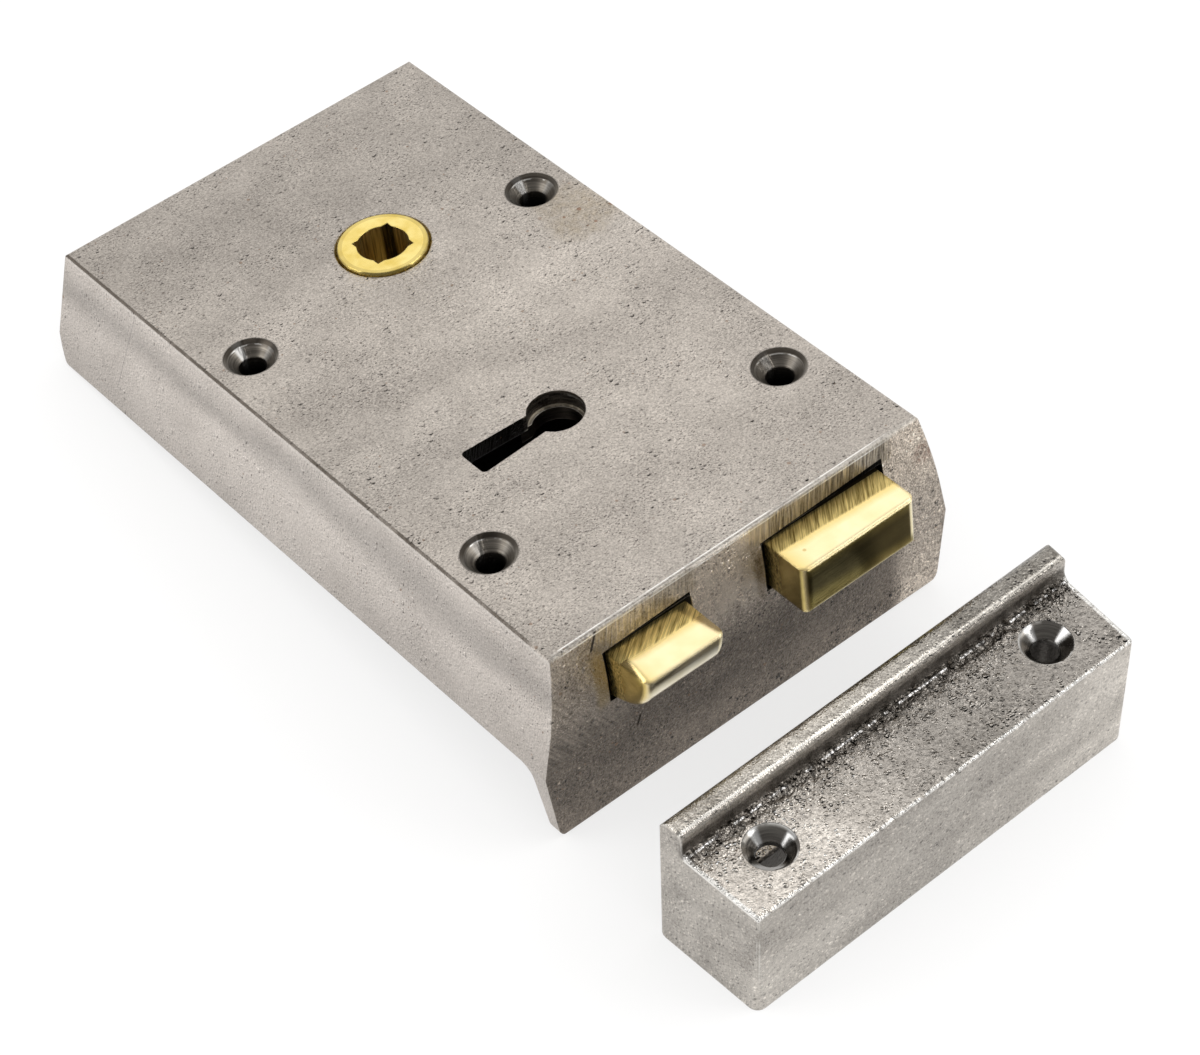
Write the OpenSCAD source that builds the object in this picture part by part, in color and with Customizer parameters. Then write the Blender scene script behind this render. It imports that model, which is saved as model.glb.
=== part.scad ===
// Rim box lock with its keep: a cast-iron case with a square-drive latch, a key-driven dead bolt
// and two levers, laid on its back, and a cast-iron keep beside it.
// Frame: Z is the spindle's axis, z = 0 is the door face, X runs to the forend
// and Y to the dead bolt's side. The lip reaches below z = 0, over the edge of the door.

/* [Case] */
// Length of the top face, from its rear edge to the forend
case_length = 146.2; // [140:0.1:156]
// Width of the top face
case_width = 81.4; // [78:0.1:90]
// Depth of the case over the door face
case_depth = 25.4; // [24.8:0.1:30]
// Outward lean of each long wall, from the top face to the door face
side_splay = 5; // [3:0.1:6]
// Outward lean of the rear wall
rear_splay = 4.8; // [3:0.1:6]
// Thickness of the side and rear walls
wall = 4; // [3.5:0.1:4.5]
// Thickness of the top wall
face_wall = 3.4; // [3:0.1:3.8]
// Distance from the top face's rear edge to the spindle
spindle_from_rear = 41.8; // [41:0.1:48]
// Distance from the top face's near edge to the spindle
spindle_from_near = 43.8; // [43:0.1:46]
// Rounding of the top edges
edge_r = 0.8; // [0.4:0.1:1.5]
// Rounding of the rear corners at the door face
corner_r = 4; // [2:0.5:6]

/* [Forend and lip] */
// How far the forend bulges beyond the top face's edge
forend_bulge = 1.4; // [0.8:0.1:2]
// Height of the bulge over the door face
bulge_height = 12; // [10:0.5:14]
// Slope of the forend's flat lower part, in degrees
lip_slope = 4; // [3:0.5:5]
// Depth of the lip below the door face
lip_depth = 17.5; // [12:0.5:22]
// Thickness of the lip where it leaves the case
lip_root = 4.2; // [3.5:0.1:5]
// Thickness of the lip at its end
lip_tip = 2.4; // [2:0.1:3]
// Fillet between the lip and the door face
lip_fillet = 3; // [2:0.5:4]
// Rounding of the lip's lower corners
lip_corner_r = 3; // [1:0.5:6]
// How far each side of the lip draws in towards its end
lip_side_taper = 2; // [0:0.5:4]
// Thickness of the forend wall
front_wall = 9.3; // [9:0.1:9.8]

/* [Fixing screws] */
// Spacing of the screw holes along the case
fix_spacing_x = 70.3; // [69.8:0.1:71.5]
// Spacing of the screw holes across the case
fix_spacing_y = 65; // [64.6:0.1:67]
// Distance from the spindle to the rear pair of holes
fix_from_spindle = 7.5; // [7:0.1:8.5]
// Diameter of the screw holes
fix_hole_d = 5.2; // [4.5:0.1:5.8]
// Diameter of the countersinks
fix_csk_d = 10.1; // [9:0.1:10.6]
// Diameter of the pillar round each hole
pillar_d = 11.2; // [10.8:0.1:11.6]

/* [Follower] */
// Width across flats of the square spindle hole
spindle_square = 8.3; // [7.8:0.1:8.6]
// Diameter of the round hole that the square is broached from
spindle_bore_d = 9.9; // [9.3:0.1:10.6]
// Diameter of the follower's bright face
follower_d = 17.4; // [16.8:0.1:17.6]
// Height of the follower's face over the case
follower_proud = 0.5; // [0.2:0.1:1]
// Width of the dark gap round the follower's face
follower_gap = 0.45; // [0.3:0.05:0.5]
// Diameter of the follower's journal in the back plate
journal_d = 15; // [14:0.1:16]
// Base radius of the horns' cam flanks
cam_r = 15; // [14.6:0.1:15]
// Turn of the follower that draws the latch right in, in degrees
follower_turn = 40; // [39:0.5:41]
// Height of the horns
horn_h = 5; // [4:0.1:5]
// Width of a horn at its end
horn_w = 4.2; // [3:0.1:4.5]

/* [Keyhole] */
// Distance from the spindle to the key's axis, along the case
key_x = 58.5; // [57.5:0.1:59]
// Distance of the key's axis from the spindle, across the case
key_y = -5.6; // [-6:0.1:-5.2]
// Diameter of the round part of the keyhole
key_d = 10.6; // [9.8:0.1:11]
// Width of the slot where it meets the round part
key_slot_w = 5.2; // [5:0.1:5.6]
// Width of the slot at its end
key_slot_end_w = 6.9; // [6:0.1:7.2]
// Reach of the slot from the key's axis
key_reach = 18.7; // [18:0.1:18.9]
// Diameter of the hole in each ward ring
ward_d = 9.4; // [9:0.1:9.7]
// Width of a ward ring's wall
ward_wall = 2; // [1.5:0.1:2.4]
// Height of a ward ring
ward_h = 2.8; // [2:0.1:3]

/* [Dead bolt] */
// Width of the dead bolt
dead_w = 25.4; // [24:0.1:25.8]
// Thickness of the dead bolt
dead_t = 10.2; // [9.6:0.1:10.4]
// Place of the dead bolt's middle, across the case
dead_y = 14.35; // [14:0.05:14.7]
// Depth of the dead bolt's flat top below the case's face
dead_drop = 4.7; // [4.5:0.1:5]
// How far the dead bolt stands out of the top face's edge when thrown
dead_out = 10.8; // [10:0.1:11]
// Travel of the dead bolt
dead_travel = 9.6; // [9:0.1:9.8]
// Rounding of the dead bolt's end
dead_nose_r = 1.6; // [1:0.1:2.5]
// Width of the dead bolt's tail
dead_tail_w = 14; // [13.5:0.1:14.2]
// Rear end of the tail, from the spindle
dead_tail_x = 28; // [27:0.5:29]
// Thickness of the tail
dead_tail_t = 3; // [2.6:0.1:3.2]
// Depth of the talon that the key turns in
talon_depth = 6; // [5:0.1:6.2]
// Width of the talon
talon_w = 15.6; // [14:0.1:16]
// Diameter of the stump
stump_d = 3.5; // [3:0.1:3.6]

/* [Latch bolt] */
// Width of the latch bolt
latch_w = 17; // [16:0.1:17.2]
// Thickness of the latch bolt
latch_t = 10.4; // [10:0.1:10.6]
// Place of the latch bolt's middle, across the case
latch_y = -24.7; // [-25:0.1:-24.6]
// Depth of the latch bolt's flat top below the case's face
latch_drop = 5.5; // [5.3:0.1:5.8]
// How far the latch bolt stands out of the top face's edge
latch_out = 11.4; // [11:0.1:11.6]
// Radius of the bevel on the latch bolt's underside
bevel_r = 10.6; // [10.6:0.1:13]
// Rounding of the latch bolt's edges round the bevel
latch_nose_r = 1.3; // [0.6:0.1:2]
// Thickness of the latch tail
latch_tail_t = 2.5; // [2.2:0.1:2.8]
// Half the span of the tail's bent end, which the horns push
yoke_half = 18; // [17:0.5:19]
// Wire of the latch spring
spring_wire = 1.1; // [0.9:0.1:1.2]
// Mean diameter of the latch spring
spring_d = 7; // [6.6:0.1:7.4]
// Turns of the latch spring
spring_turns = 8; // [6:1:9]
// Diameter of the rod inside the latch spring
rod_d = 4; // [3.4:0.1:4.4]

/* [Bolt heads and tails] */
// Length of each bolt inside the top face's edge, at rest
bolt_in = 9.9; // [9.6:0.1:10]
// Length of tail let into each bolt
bolt_rebate = 6.5; // [5:0.5:7]
// Diameter of the rivets that hold a bolt to its tail
rivet_d = 3; // [2.5:0.1:3.2]

/* [Levers] */
// Thickness of a lever
lever_t = 1.8; // [1.4:0.1:1.9]
// Place of the levers' pivot along the case
pivot_x = 34; // [33.5:0.1:34.5]
// Diameter of the pivot
pivot_d = 5; // [4.6:0.1:5.2]
// Lift of a lever over the bolt's travel, in degrees
lever_lift = 7; // [6:0.5:7.5]
// Distance from the pivot to the stump, along the case
stump_reach = 30; // [29.5:0.1:30.5]
// Height of the stump above the tail's middle
stump_rise = 3; // [2.8:0.1:3.2]
// Radius of the lever's belly about the key's axis
belly_r = 15.8; // [15.4:0.1:16]
// Thickness of a lever spring
leaf_t = 0.5; // [0.4:0.1:0.7]

/* [Back plate] */
// Thickness of the back plate
plate_t = 1.8; // [1.5:0.1:2]
// Width of the ledge that the back plate sits on
plate_ledge = 1.4; // [1:0.1:1.6]
// Diameter of the back plate's screws
plate_screw_d = 3; // [2.5:0.1:3.2]
// Diameter of those screws' heads
plate_head_d = 5.6; // [5:0.1:6]
// Length of those screws
plate_screw_l = 10; // [8:0.5:14]

/* [Keep] */
// Length of the keep at the foot of its lip
keep_length = 87.3; // [84:0.1:92]
// How much each end of the keep runs in toward its low side
keep_taper = 1.1; // [0:0.1:2]
// Width of the keep's low part
keep_width = 17.3; // [16.5:0.1:20]
// How much higher the keep's low part is than the case's face
keep_rise = 1; // [0.5:0.1:1.5]
// Thickness of the keep's lip
keep_lip_t = 5.2; // [4.8:0.1:6]
// Rounding of the lip's outer top edge
keep_lip_r = 3; // [2:0.1:3.2]
// Height of the lip over the low part
keep_lip_h = 5.7; // [5:0.1:7]
// Thickness of the keep's top and walls
keep_wall = 3.3; // [3:0.1:3.3]
// Draft of the keep's walls, in degrees
keep_draft = 1; // [0.5:0.5:2]
// Spacing of the keep's two screw holes
keep_fix_spacing = 62.8; // [60:0.1:64]
// Distance from the lip to the keep's screw holes
keep_fix_x = 7.9; // [7.2:0.1:8.4]
// Diameter of the keep's screw holes
keep_hole_d = 5; // [4.5:0.1:5.4]
// Diameter of the keep's countersinks
keep_csk_d = 9.6; // [9:0.1:9.8]
// Distance from the case's rear base edge to the keep's lip, along the table
keep_x = 181.8; // [181:0.1:200]
// Place of the keep's near end from the top face's near edge
keep_y = -1.7; // [-5:0.1:5]
// Turn of the keep on the table, in degrees
keep_turn = 1; // [0:0.5:3]

/* [Clearances] */
// Gap between a sliding or swinging piece and its neighbour
slide_gap = 0.3; // [0.25:0.05:0.35]
// Gap round each bolt in the forend, above and below
slot_gap_z = 0.4; // [0.3:0.05:0.5]
// Gap beside each bolt on its near side
slot_gap_near = 0.75; // [0.4:0.05:0.9]
// Gap beside each bolt on its far side
slot_gap_far = 1.3; // [0.4:0.05:1.5]
// Radial gap of a shaft in its bearing
bearing_gap = 0.07; // [0.05:0.01:0.09]
// Gap round a piece fixed in its hole or recess
seat_gap = 0.03; // [0.02:0.01:0.05]

/* [Hidden] */
$fn = 48;
eps = 0.01;
sink = 0.1;
beyond = 5;

// Case outline
rear_top = -spindle_from_rear;
rear_base = rear_top - rear_splay;
front_top = rear_top + case_length;
near_top = -spindle_from_near;
far_top = near_top + case_width;
near_base = near_top - side_splay;
far_base = far_top + side_splay;
mid_y = (near_top + far_top) / 2;
bulge_x = front_top + forend_bulge;
ceiling = case_depth - face_wall;

// Forend curve: an arc from the top face to where its slope is the lip's, then a straight line
bulge_rise = case_depth - bulge_height;
forend_r = (bulge_rise * bulge_rise + forend_bulge * forend_bulge) / (2 * forend_bulge);
forend_cx = bulge_x - forend_r;
straight_z = bulge_height - forend_r * sin(lip_slope);
straight_x = forend_cx + forend_r * cos(lip_slope);
forend_steps = 12;

// Cavity
front_in = bulge_x - front_wall;
lip_in_root = forend(0) - lip_root;
lip_in_tip = forend(-lip_depth) - lip_tip;
front_rebate = front_in + plate_ledge;
rebate_margin = wall - plate_ledge;

// Fixing holes, spindle frame
fix_x = [fix_from_spindle, fix_from_spindle + fix_spacing_x];
fix_y = [mid_y - fix_spacing_y / 2, mid_y + fix_spacing_y / 2];

// Small screws of the back plate: two behind the spindle, two behind the forend
screw_boss_d = 6.4;
screw_inset = 7.8;
front_screw_inset = 5.2;
front_screw_x = front_in - 2.5;
screw_slot_w = 0.7;
screw_slot_h = 0.6;
plate_gap = 0.2;
plate_screws = [
  [rear_top + screw_inset, near_top + screw_inset], [rear_top + screw_inset, far_top - screw_inset],
  [front_screw_x, near_top + front_screw_inset], [front_screw_x, far_top - front_screw_inset]
];

// Heights of the works, hung from the case's face
dead_top = case_depth - dead_drop;
dead_z = dead_top - dead_t;
latch_top = case_depth - latch_drop;
latch_z = latch_top - latch_t;
dead_tail_z = dead_top - dead_tail_t;
latch_tail_z = latch_top - latch_tail_t;
lever_top_1 = dead_tail_z - slide_gap;
lever_top_2 = lever_top_1 - lever_t - slide_gap;
lever_foot = lever_top_2 - lever_t;
washer_t = 0.8;
washer_rim = 2.5;
stud_head_t = 1;
stud_head_rim = 1.2;
pad_rim = 1.5;
rail_w = 2;
rail_l = 16;
rail_inset = 1.1;
blind = 1.6;
horn_gap = 0.4;
horn_top = latch_tail_z - horn_gap;
horn_z = horn_top - horn_h;
yoke_foot = horn_z - 0.5;

// Follower and yoke
hub_r = follower_d / 2;
hub_gap = 0.6;
yoke_t = 2.5;
yoke_x = -hub_r - hub_gap;
cam_gap = 0.05;
latch_travel = cam_r * follower_turn * PI / 180;
cam_start = (-yoke_x - cam_gap) / cam_r * 180 / PI;
cam_steps = 8;
cam_lead = 16;
cam_over = 1;

// Bolts, at rest as in the photograph: thrown and sprung out
dead_front = front_top + dead_out;
latch_front = front_top + latch_out;
bolt_back = front_top - bolt_in;
dead_near = dead_y - dead_w / 2;
latch_near = latch_y - latch_w / 2;
bolt_let_in = bolt_back + bolt_rebate;
tail_y = dead_y + 0.65;
tail_near = tail_y - dead_tail_w / 2;
stump = [pivot_x + stump_reach, tail_y + stump_rise];
talon_x = key_x + dead_travel / 2;
key_clear = key_reach + 0.6;
strip_w = 4.4;
latch_let_half = 4.8;
strip_top = key_y - key_clear;
strip_low = strip_top - strip_w;
arm_top = -hub_r - 0.5;
arm_end = pivot_x - 1;
arm_slope = 6;
arm_l = 24;
arm_foot = arm_end - arm_l;
latch_flare = bolt_back - 8;
latch_flare_l = 5;
guide_back = 13;
guide = [arm_end - guide_back, (strip_low + arm_top) / 2];
guide_d = 4;

// Latch spring, between the case's rear seat and the bent end of the tail
spring_z = (yoke_foot + latch_top) / 2;
seat_root = rear_top + 1;
spring_from = seat_root + 4;
spring_to = yoke_x - yoke_t;
rod_reach = 12.2;

// Levers
lever_end = stump.x + 6;
lever_head_r = 6.5;
lever_half = 7.5;
stop_back = 1.5;
stop_up = 16;
stop = [stump.x - stop_back, tail_y + stop_up];
stop_d = 3;
leaf_in = 2.4;
leaf_foot = 9;
leaf_reach = 17;
leaf_root = [pivot_x + leaf_foot, tail_y + lever_half - leaf_in];
leaf_bend = [pivot_x + leaf_reach, tail_y + lever_half];
leaf_end = [stop.x - 1, stop.y - stop_d / 2 - 0.1];
pocket_r = stump_d / 2 + slide_gap;

// Keep, standing on the same table as the lock, which leans on its lip
lean = atan(lip_depth / (lip_in_tip + lip_tip / 2 - rear_base));
keep_height = case_depth + keep_rise;
keep_in_z = keep_height - keep_wall;
pocket_play = 1.2;
dead_pocket = [keep_length / 2 + dead_near - mid_y - pocket_play, dead_w + 2 * pocket_play];
latch_pocket = [keep_length / 2 + latch_near - mid_y - pocket_play, latch_w + 2 * pocket_play];
pocket_z = latch_z - pocket_play;

iron = [0.52, 0.5, 0.47];
dark_iron = [0.42, 0.4, 0.38];
steel = [0.6, 0.61, 0.63];
brass = [0.87, 0.74, 0.36];

// X of the forend's outer surface at height z
function forend(z) = z >= straight_z
  ? forend_cx + sqrt(forend_r * forend_r - pow(z - bulge_height, 2))
  : straight_x - (straight_z - z) * tan(lip_slope);

function unit(v) = v / norm(v);
function flat(p) = [p.x, p.y];

// Arc of radius r that rounds the corner b between a and c
function corner_arc(a, b, c, r, n) = r <= 0 ? [b] :
  let (
    u = unit(a - b),
    v = unit(c - b),
    half = acos(u * v) / 2,
    turn = sign(u.y * v.x - u.x * v.y) * (180 - 2 * half),
    centre = b + unit(u + v) * r / sin(half),
    from = b + u * r / tan(half) - centre,
    start = atan2(from.y, from.x)
  )
  [for (i = [0 : n]) centre + r * [cos(start + turn * i / n), sin(start + turn * i / n)]];

// Outline through corners [x, y, radius]
function rounded(c, n = 5) = [
  for (i = [0 : len(c) - 1]) each corner_arc(
    flat(c[(i + len(c) - 1) % len(c)]), flat(c[i]), flat(c[(i + 1) % len(c)]), c[i].z, n)
];

// Extrudes a profile drawn in X and Z from y0 to y1
module along_y(y0, y1) translate([0, y1, 0]) rotate([90, 0, 0]) linear_extrude(y1 - y0) children();

// Extrudes a profile drawn in Y and Z from x0 to x1
module along_x(x0, x1) translate([x0, 0, 0]) rotate([90, 0, 90]) linear_extrude(x1 - x0) children();

// Extrudes a profile drawn in X and Y from z0 to z1
module along_z(z0, z1) translate([0, 0, z0]) linear_extrude(z1 - z0) children();

// Upright cylinder at p from z0 to z1
module post(p, d, z0, z1) translate([p.x, p.y, z0]) cylinder(d = d, h = z1 - z0);

// Long hole with round ends
module slot_2d(x0, x1, y, d) {
  translate([x0, y]) circle(d = d);
  translate([x1, y]) circle(d = d);
  translate([x0, y - d / 2]) square([x1 - x0, d]);
}

// Case

module case_block() {
  side = concat(
    [[rear_base, 0, 0], [forend(0), 0, 0]],
    [for (i = [0 : forend_steps - 1])
      let (z = straight_z + (case_depth - straight_z) * i / forend_steps) [forend(z), z, 0]],
    [[front_top, case_depth, edge_r], [rear_top, case_depth, edge_r]]
  );
  end = [
    [near_base, 0, 0], [far_base, 0, 0],
    [far_top, case_depth, edge_r], [near_top, case_depth, edge_r]
  ];
  plan = [
    [rear_base, near_base, corner_r], [bulge_x + beyond, near_base, 0],
    [bulge_x + beyond, far_base, 0], [rear_base, far_base, corner_r]
  ];
  intersection() {
    along_y(near_base - 1, far_base + 1) polygon(rounded(side));
    along_x(rear_base - 1, bulge_x + 1) polygon(rounded(end));
    along_z(-1, case_depth + 1) polygon(rounded(plan, 8));
  }
}

module lip() {
  root = lip_in_root - 2 * lip_fillet;
  side = [
    [root, 1, 0], [root, 0, 0], [lip_in_root, 0, lip_fillet],
    [lip_in_tip, -lip_depth, lip_tip * 0.45], [forend(-lip_depth), -lip_depth, lip_tip * 0.45],
    [forend(1), 1, 0]
  ];
  end = [
    [near_base + 0.5, 1, 0], [near_base, 0, 0],
    [near_base + lip_side_taper, -lip_depth, lip_corner_r],
    [far_base - lip_side_taper, -lip_depth, lip_corner_r],
    [far_base, 0, 0], [far_base - 0.5, 1, 0]
  ];
  intersection() {
    along_y(near_base, far_base) polygon(rounded(side, 6));
    along_x(root, bulge_x + 1) polygon(rounded(end, 6));
  }
}

module cavity() {
  rise = ceiling / case_depth;
  side = [
    [rear_base + wall, 0], [front_in, 0], [front_in, ceiling],
    [rear_base + wall + rear_splay * rise, ceiling]
  ];
  end = [
    [near_base + wall, 0], [far_base - wall, 0],
    [far_base - wall - side_splay * rise, ceiling], [near_base + wall + side_splay * rise, ceiling]
  ];
  intersection() {
    along_y(near_base, far_base) polygon(side);
    along_x(rear_base, bulge_x) polygon(end);
  }
}

// Outline of the back plate's recess, drawn in by gap
module plate_outline(gap) {
  polygon(rounded([
    [rear_base + rebate_margin + gap, near_base + rebate_margin + gap, corner_r],
    [front_rebate - gap, near_base + rebate_margin + gap, 1],
    [front_rebate - gap, far_base - rebate_margin - gap, 1],
    [rear_base + rebate_margin + gap, far_base - rebate_margin - gap, corner_r]
  ]));
}

module keyhole_2d(grow = 0) {
  translate([key_x, key_y]) {
    circle(d = key_d + 2 * grow);
    polygon(rounded([
      [-key_slot_end_w / 2 - grow, -key_reach - grow, 0.9], [key_slot_end_w / 2 + grow, -key_reach - grow, 0.9],
      [key_slot_w / 2 + grow, 0, 0], [-key_slot_w / 2 - grow, 0, 0]
    ]));
  }
}

module bolt_slot(near, width, z, thick) {
  y0 = near - slot_gap_near;
  y1 = near + width + slot_gap_far;
  z0 = z - slot_gap_z;
  z1 = z + thick + slot_gap_z;
  along_x(front_in - 1, bulge_x + 1)
    polygon(rounded([[y0, z0, 0.6], [y1, z0, 0.6], [y1, z1, 0.6], [y0, z1, 0.6]], 4));
}

module fixing_holes(z0, z1, d) {
  for (x = fix_x, y = fix_y) post([x, y], d, z0, z1);
}

module case() color(iron) {
  csk = (fix_csk_d - fix_hole_d) / 2;
  difference() {
    union() {
      difference() {
        union() {
          case_block();
          lip();
        }
        difference() {
          cavity();
          for (x = fix_x, y = fix_y) post([x, y], pillar_d, 0, ceiling + 1);
          for (p = plate_screws) post(p, screw_boss_d, 0, ceiling + 1);
        }
        along_z(-1, plate_t) intersection() {
          plate_outline(0);
          translate([rear_base, near_base]) square([front_rebate - rear_base, far_base - near_base]);
        }
      }
      // Seat of the latch spring on the rear wall
      translate([seat_root, 0, spring_z]) rotate([0, 90, 0])
        cylinder(d = spring_d + spring_wire + 1, h = spring_from - seat_root);
      // Rails that the tails slide under, and pads round the studs
      for (y = [tail_near + rail_inset, tail_near + dead_tail_w - rail_inset - rail_w])
        translate([stump.x - rail_l, y, dead_top + slide_gap])
          cube([bolt_back - stump.x + rail_l - dead_travel, rail_w, ceiling + sink - dead_top - slide_gap]);
      translate([arm_end + arm_slope, strip_low + rail_inset, latch_top + slide_gap])
        cube([latch_flare - arm_end - arm_slope, rail_w, ceiling + sink - latch_top - slide_gap]);
      post([pivot_x, tail_y], pivot_d + 2 * pad_rim, dead_top + slide_gap, ceiling + sink);
      post(guide, guide_d + 2 * pad_rim, latch_top + slide_gap, ceiling + sink);
    }
    fixing_holes(-1, case_depth + 1, fix_hole_d);
    for (x = fix_x, y = fix_y) translate([x, y, case_depth - csk])
      cylinder(d1 = fix_hole_d, d2 = fix_csk_d + 2 * eps, h = csk + eps);
    for (p = plate_screws)
      post(p, plate_screw_d + 2 * seat_gap, plate_t - 1, plate_screw_l + 1);
    post([0, 0], follower_d + 2 * follower_gap, ceiling - 1, case_depth + 1);
    along_z(ceiling - 1, case_depth + 1) keyhole_2d();
    bolt_slot(dead_near, dead_w, dead_z, dead_t);
    bolt_slot(latch_near, latch_w, latch_z, latch_t);
    post([pivot_x, tail_y], pivot_d + 2 * seat_gap, ceiling - 3, ceiling + blind);
    post(guide, guide_d + 2 * seat_gap, ceiling - 3, ceiling + blind);
    post(stop, stop_d + 2 * seat_gap, ceiling - 3, ceiling + blind);
  }
}

module back_plate() color(steel) {
  difference() {
    along_z(0, plate_t) plate_outline(plate_gap);
    fixing_holes(-1, plate_t + 1, fix_hole_d + 0.6);
    post([0, 0], journal_d + 2 * bearing_gap, -1, plate_t + 1);
    along_z(-1, plate_t + 1) keyhole_2d();
    for (p = plate_screws) {
      post(p, plate_screw_d + 2 * seat_gap, -1, plate_t + 1);
      translate([p.x, p.y, -eps]) cylinder(
        d1 = plate_head_d + 2 * seat_gap, d2 = plate_screw_d + 2 * seat_gap,
        h = (plate_head_d - plate_screw_d) / 2);
    }
  }
}

module back_plate_screws() color(steel) {
  for (p = plate_screws) difference() {
    union() {
      post(p, plate_screw_d, 0, plate_screw_l);
      translate([p.x, p.y, 0])
        cylinder(d1 = plate_head_d, d2 = plate_screw_d, h = (plate_head_d - plate_screw_d) / 2);
    }
    translate([p.x - plate_head_d, p.y - screw_slot_w / 2, -1])
      cube([2 * plate_head_d, screw_slot_w, 1 + screw_slot_h]);
  }
}

// Ring round the key's axis, open where the bit passes
module ward(z0, z1) difference() {
  post([key_x, key_y], ward_d + 2 * ward_wall, z0, z1);
  post([key_x, key_y], ward_d, z0 - 1, z1 + 1);
  translate([key_x - key_slot_end_w / 2, key_y - ward_d, z0 - 1])
    cube([key_slot_end_w, ward_d, z1 - z0 + 2]);
}

module keyhole_ward_face() color(steel) ward(ceiling - ward_h, ceiling);
module keyhole_ward_back() color(steel) ward(plate_t, plate_t + ward_h);

module lever_pivot() color(steel) {
  foot = lever_foot - slide_gap - washer_t;
  post([pivot_x, tail_y], pivot_d, foot, ceiling + blind);
  post([pivot_x, tail_y], pivot_d + 2 * stud_head_rim, foot - stud_head_t, foot);
}

module lever_washer() color(steel) {
  top = lever_foot - slide_gap;
  difference() {
    post([pivot_x, tail_y], pivot_d + 2 * washer_rim, top - washer_t, top);
    post([pivot_x, tail_y], pivot_d + 2 * seat_gap, top - washer_t - 1, top + 1);
  }
}

module lever_spring_stop() color(steel) post(stop, stop_d, lever_foot, ceiling + blind);

module latch_guide_stud() color(steel) {
  foot = latch_tail_z - slide_gap;
  post(guide, guide_d, foot, ceiling + blind);
  post(guide, guide_d + 2 * stud_head_rim, foot - stud_head_t, foot);
}

// Coil round the X axis: rings of six points swept along a helix
module latch_spring() color(steel) {
  sides = 6;
  rings_per_turn = 12;
  rings = spring_turns * rings_per_turn;
  from = spring_from + spring_wire / 2 + 0.05;
  to = spring_to - spring_wire / 2 - 0.05;
  points = [
    for (i = [0 : rings], j = [0 : sides - 1])
      let (
        a = 360 * i / rings_per_turn,
        b = 360 * j / sides,
        r = spring_d / 2 + spring_wire / 2 * cos(b)
      )
      [from + (to - from) * i / rings + spring_wire / 2 * sin(b), r * cos(a), spring_z + r * sin(a)]
  ];
  skin = [
    for (i = [0 : rings - 1], j = [0 : sides - 1])
      let (k = (j + 1) % sides, a = i * sides, b = (i + 1) * sides)
      each [[a + j, a + k, b + j], [a + k, b + k, b + j]]
  ];
  first = [for (j = [1 : sides - 2]) [0, j + 1, j]];
  last = [for (j = [1 : sides - 2]) [rings * sides, rings * sides + j, rings * sides + j + 1]];
  polyhedron(points, concat(skin, first, last));
}

// Dead bolt

module deadbolt_head() color(brass) {
  side = [
    [bolt_back, dead_z, 0], [dead_front, dead_z, dead_nose_r / 2],
    [dead_front, dead_top, dead_nose_r / 2], [bolt_back, dead_top, 0]
  ];
  plan = [
    [bolt_back, dead_near, 0], [dead_front, dead_near, dead_nose_r],
    [dead_front, dead_near + dead_w, dead_nose_r], [bolt_back, dead_near + dead_w, 0]
  ];
  difference() {
    intersection() {
      along_y(dead_near - 1, dead_near + dead_w + 1) polygon(rounded(side, 6));
      along_z(dead_z - 1, dead_top + 1) polygon(rounded(plan, 8));
    }
    translate([bolt_back - 1, tail_near - seat_gap, dead_tail_z - seat_gap])
      cube([bolt_let_in - bolt_back + 1 + seat_gap, dead_tail_w + 2 * seat_gap, dead_tail_t + 1]);
    for (p = dead_rivets()) post(p, rivet_d + 2 * seat_gap, dead_z - 1, dead_top + 1);
  }
}

function dead_rivets() = [for (s = [-1, 1]) [bolt_back + bolt_rebate / 2, tail_y + s * dead_tail_w / 4]];
function latch_rivets() = [
  for (s = [-1, 1]) [bolt_back + bolt_rebate / 2, latch_y + s * latch_let_half * 0.54]
];

module deadbolt_tail() color(steel) {
  slot_d = pivot_d + 2 * slide_gap;
  y0 = tail_near;
  y1 = tail_near + dead_tail_w;
  t0 = talon_x - talon_w / 2;
  t1 = talon_x + talon_w / 2;
  plan = [
    [dead_tail_x, y0, 2], [t0, y0, 0.6], [t0, y0 + talon_depth, 1.2],
    [t1, y0 + talon_depth, 1.2], [t1, y0, 0.6], [bolt_let_in, y0, 0],
    [bolt_let_in, y1, 0], [dead_tail_x, y1, 2]
  ];
  difference() {
    along_z(dead_tail_z, dead_top) polygon(rounded(plan, 4));
    along_z(dead_tail_z - 1, dead_top + 1) slot_2d(pivot_x, pivot_x + dead_travel, tail_y, slot_d);
    post(stump, stump_d + 2 * seat_gap, dead_tail_z - 1, dead_top + 1);
    for (p = dead_rivets()) post(p, rivet_d + 2 * seat_gap, dead_tail_z - 1, dead_top + 1);
  }
}

module deadbolt_rivets() color(steel) for (p = dead_rivets()) post(p, rivet_d, dead_z, dead_top);
module deadbolt_stump() color(steel) post(stump, stump_d, lever_foot, dead_top);

// Latch bolt

// Side of the latch bolt, its bevel drawn in by inset
module latch_side(inset) {
  r = bevel_r - inset;
  low = -asin(min(1, (latch_t - inset) / r));
  steps = 10;
  polygon(rounded(concat(
    [[bolt_back, latch_z, 0], [latch_front - bevel_r, latch_z, 0]],
    [for (i = [0 : steps - 1]) let (a = low * (1 - i / steps))
      [latch_front - bevel_r + r * cos(a), latch_top + r * sin(a), 0]],
    [[latch_front - inset, latch_top, 0.3], [bolt_back, latch_top, 0]]
  ), 4));
}

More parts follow.
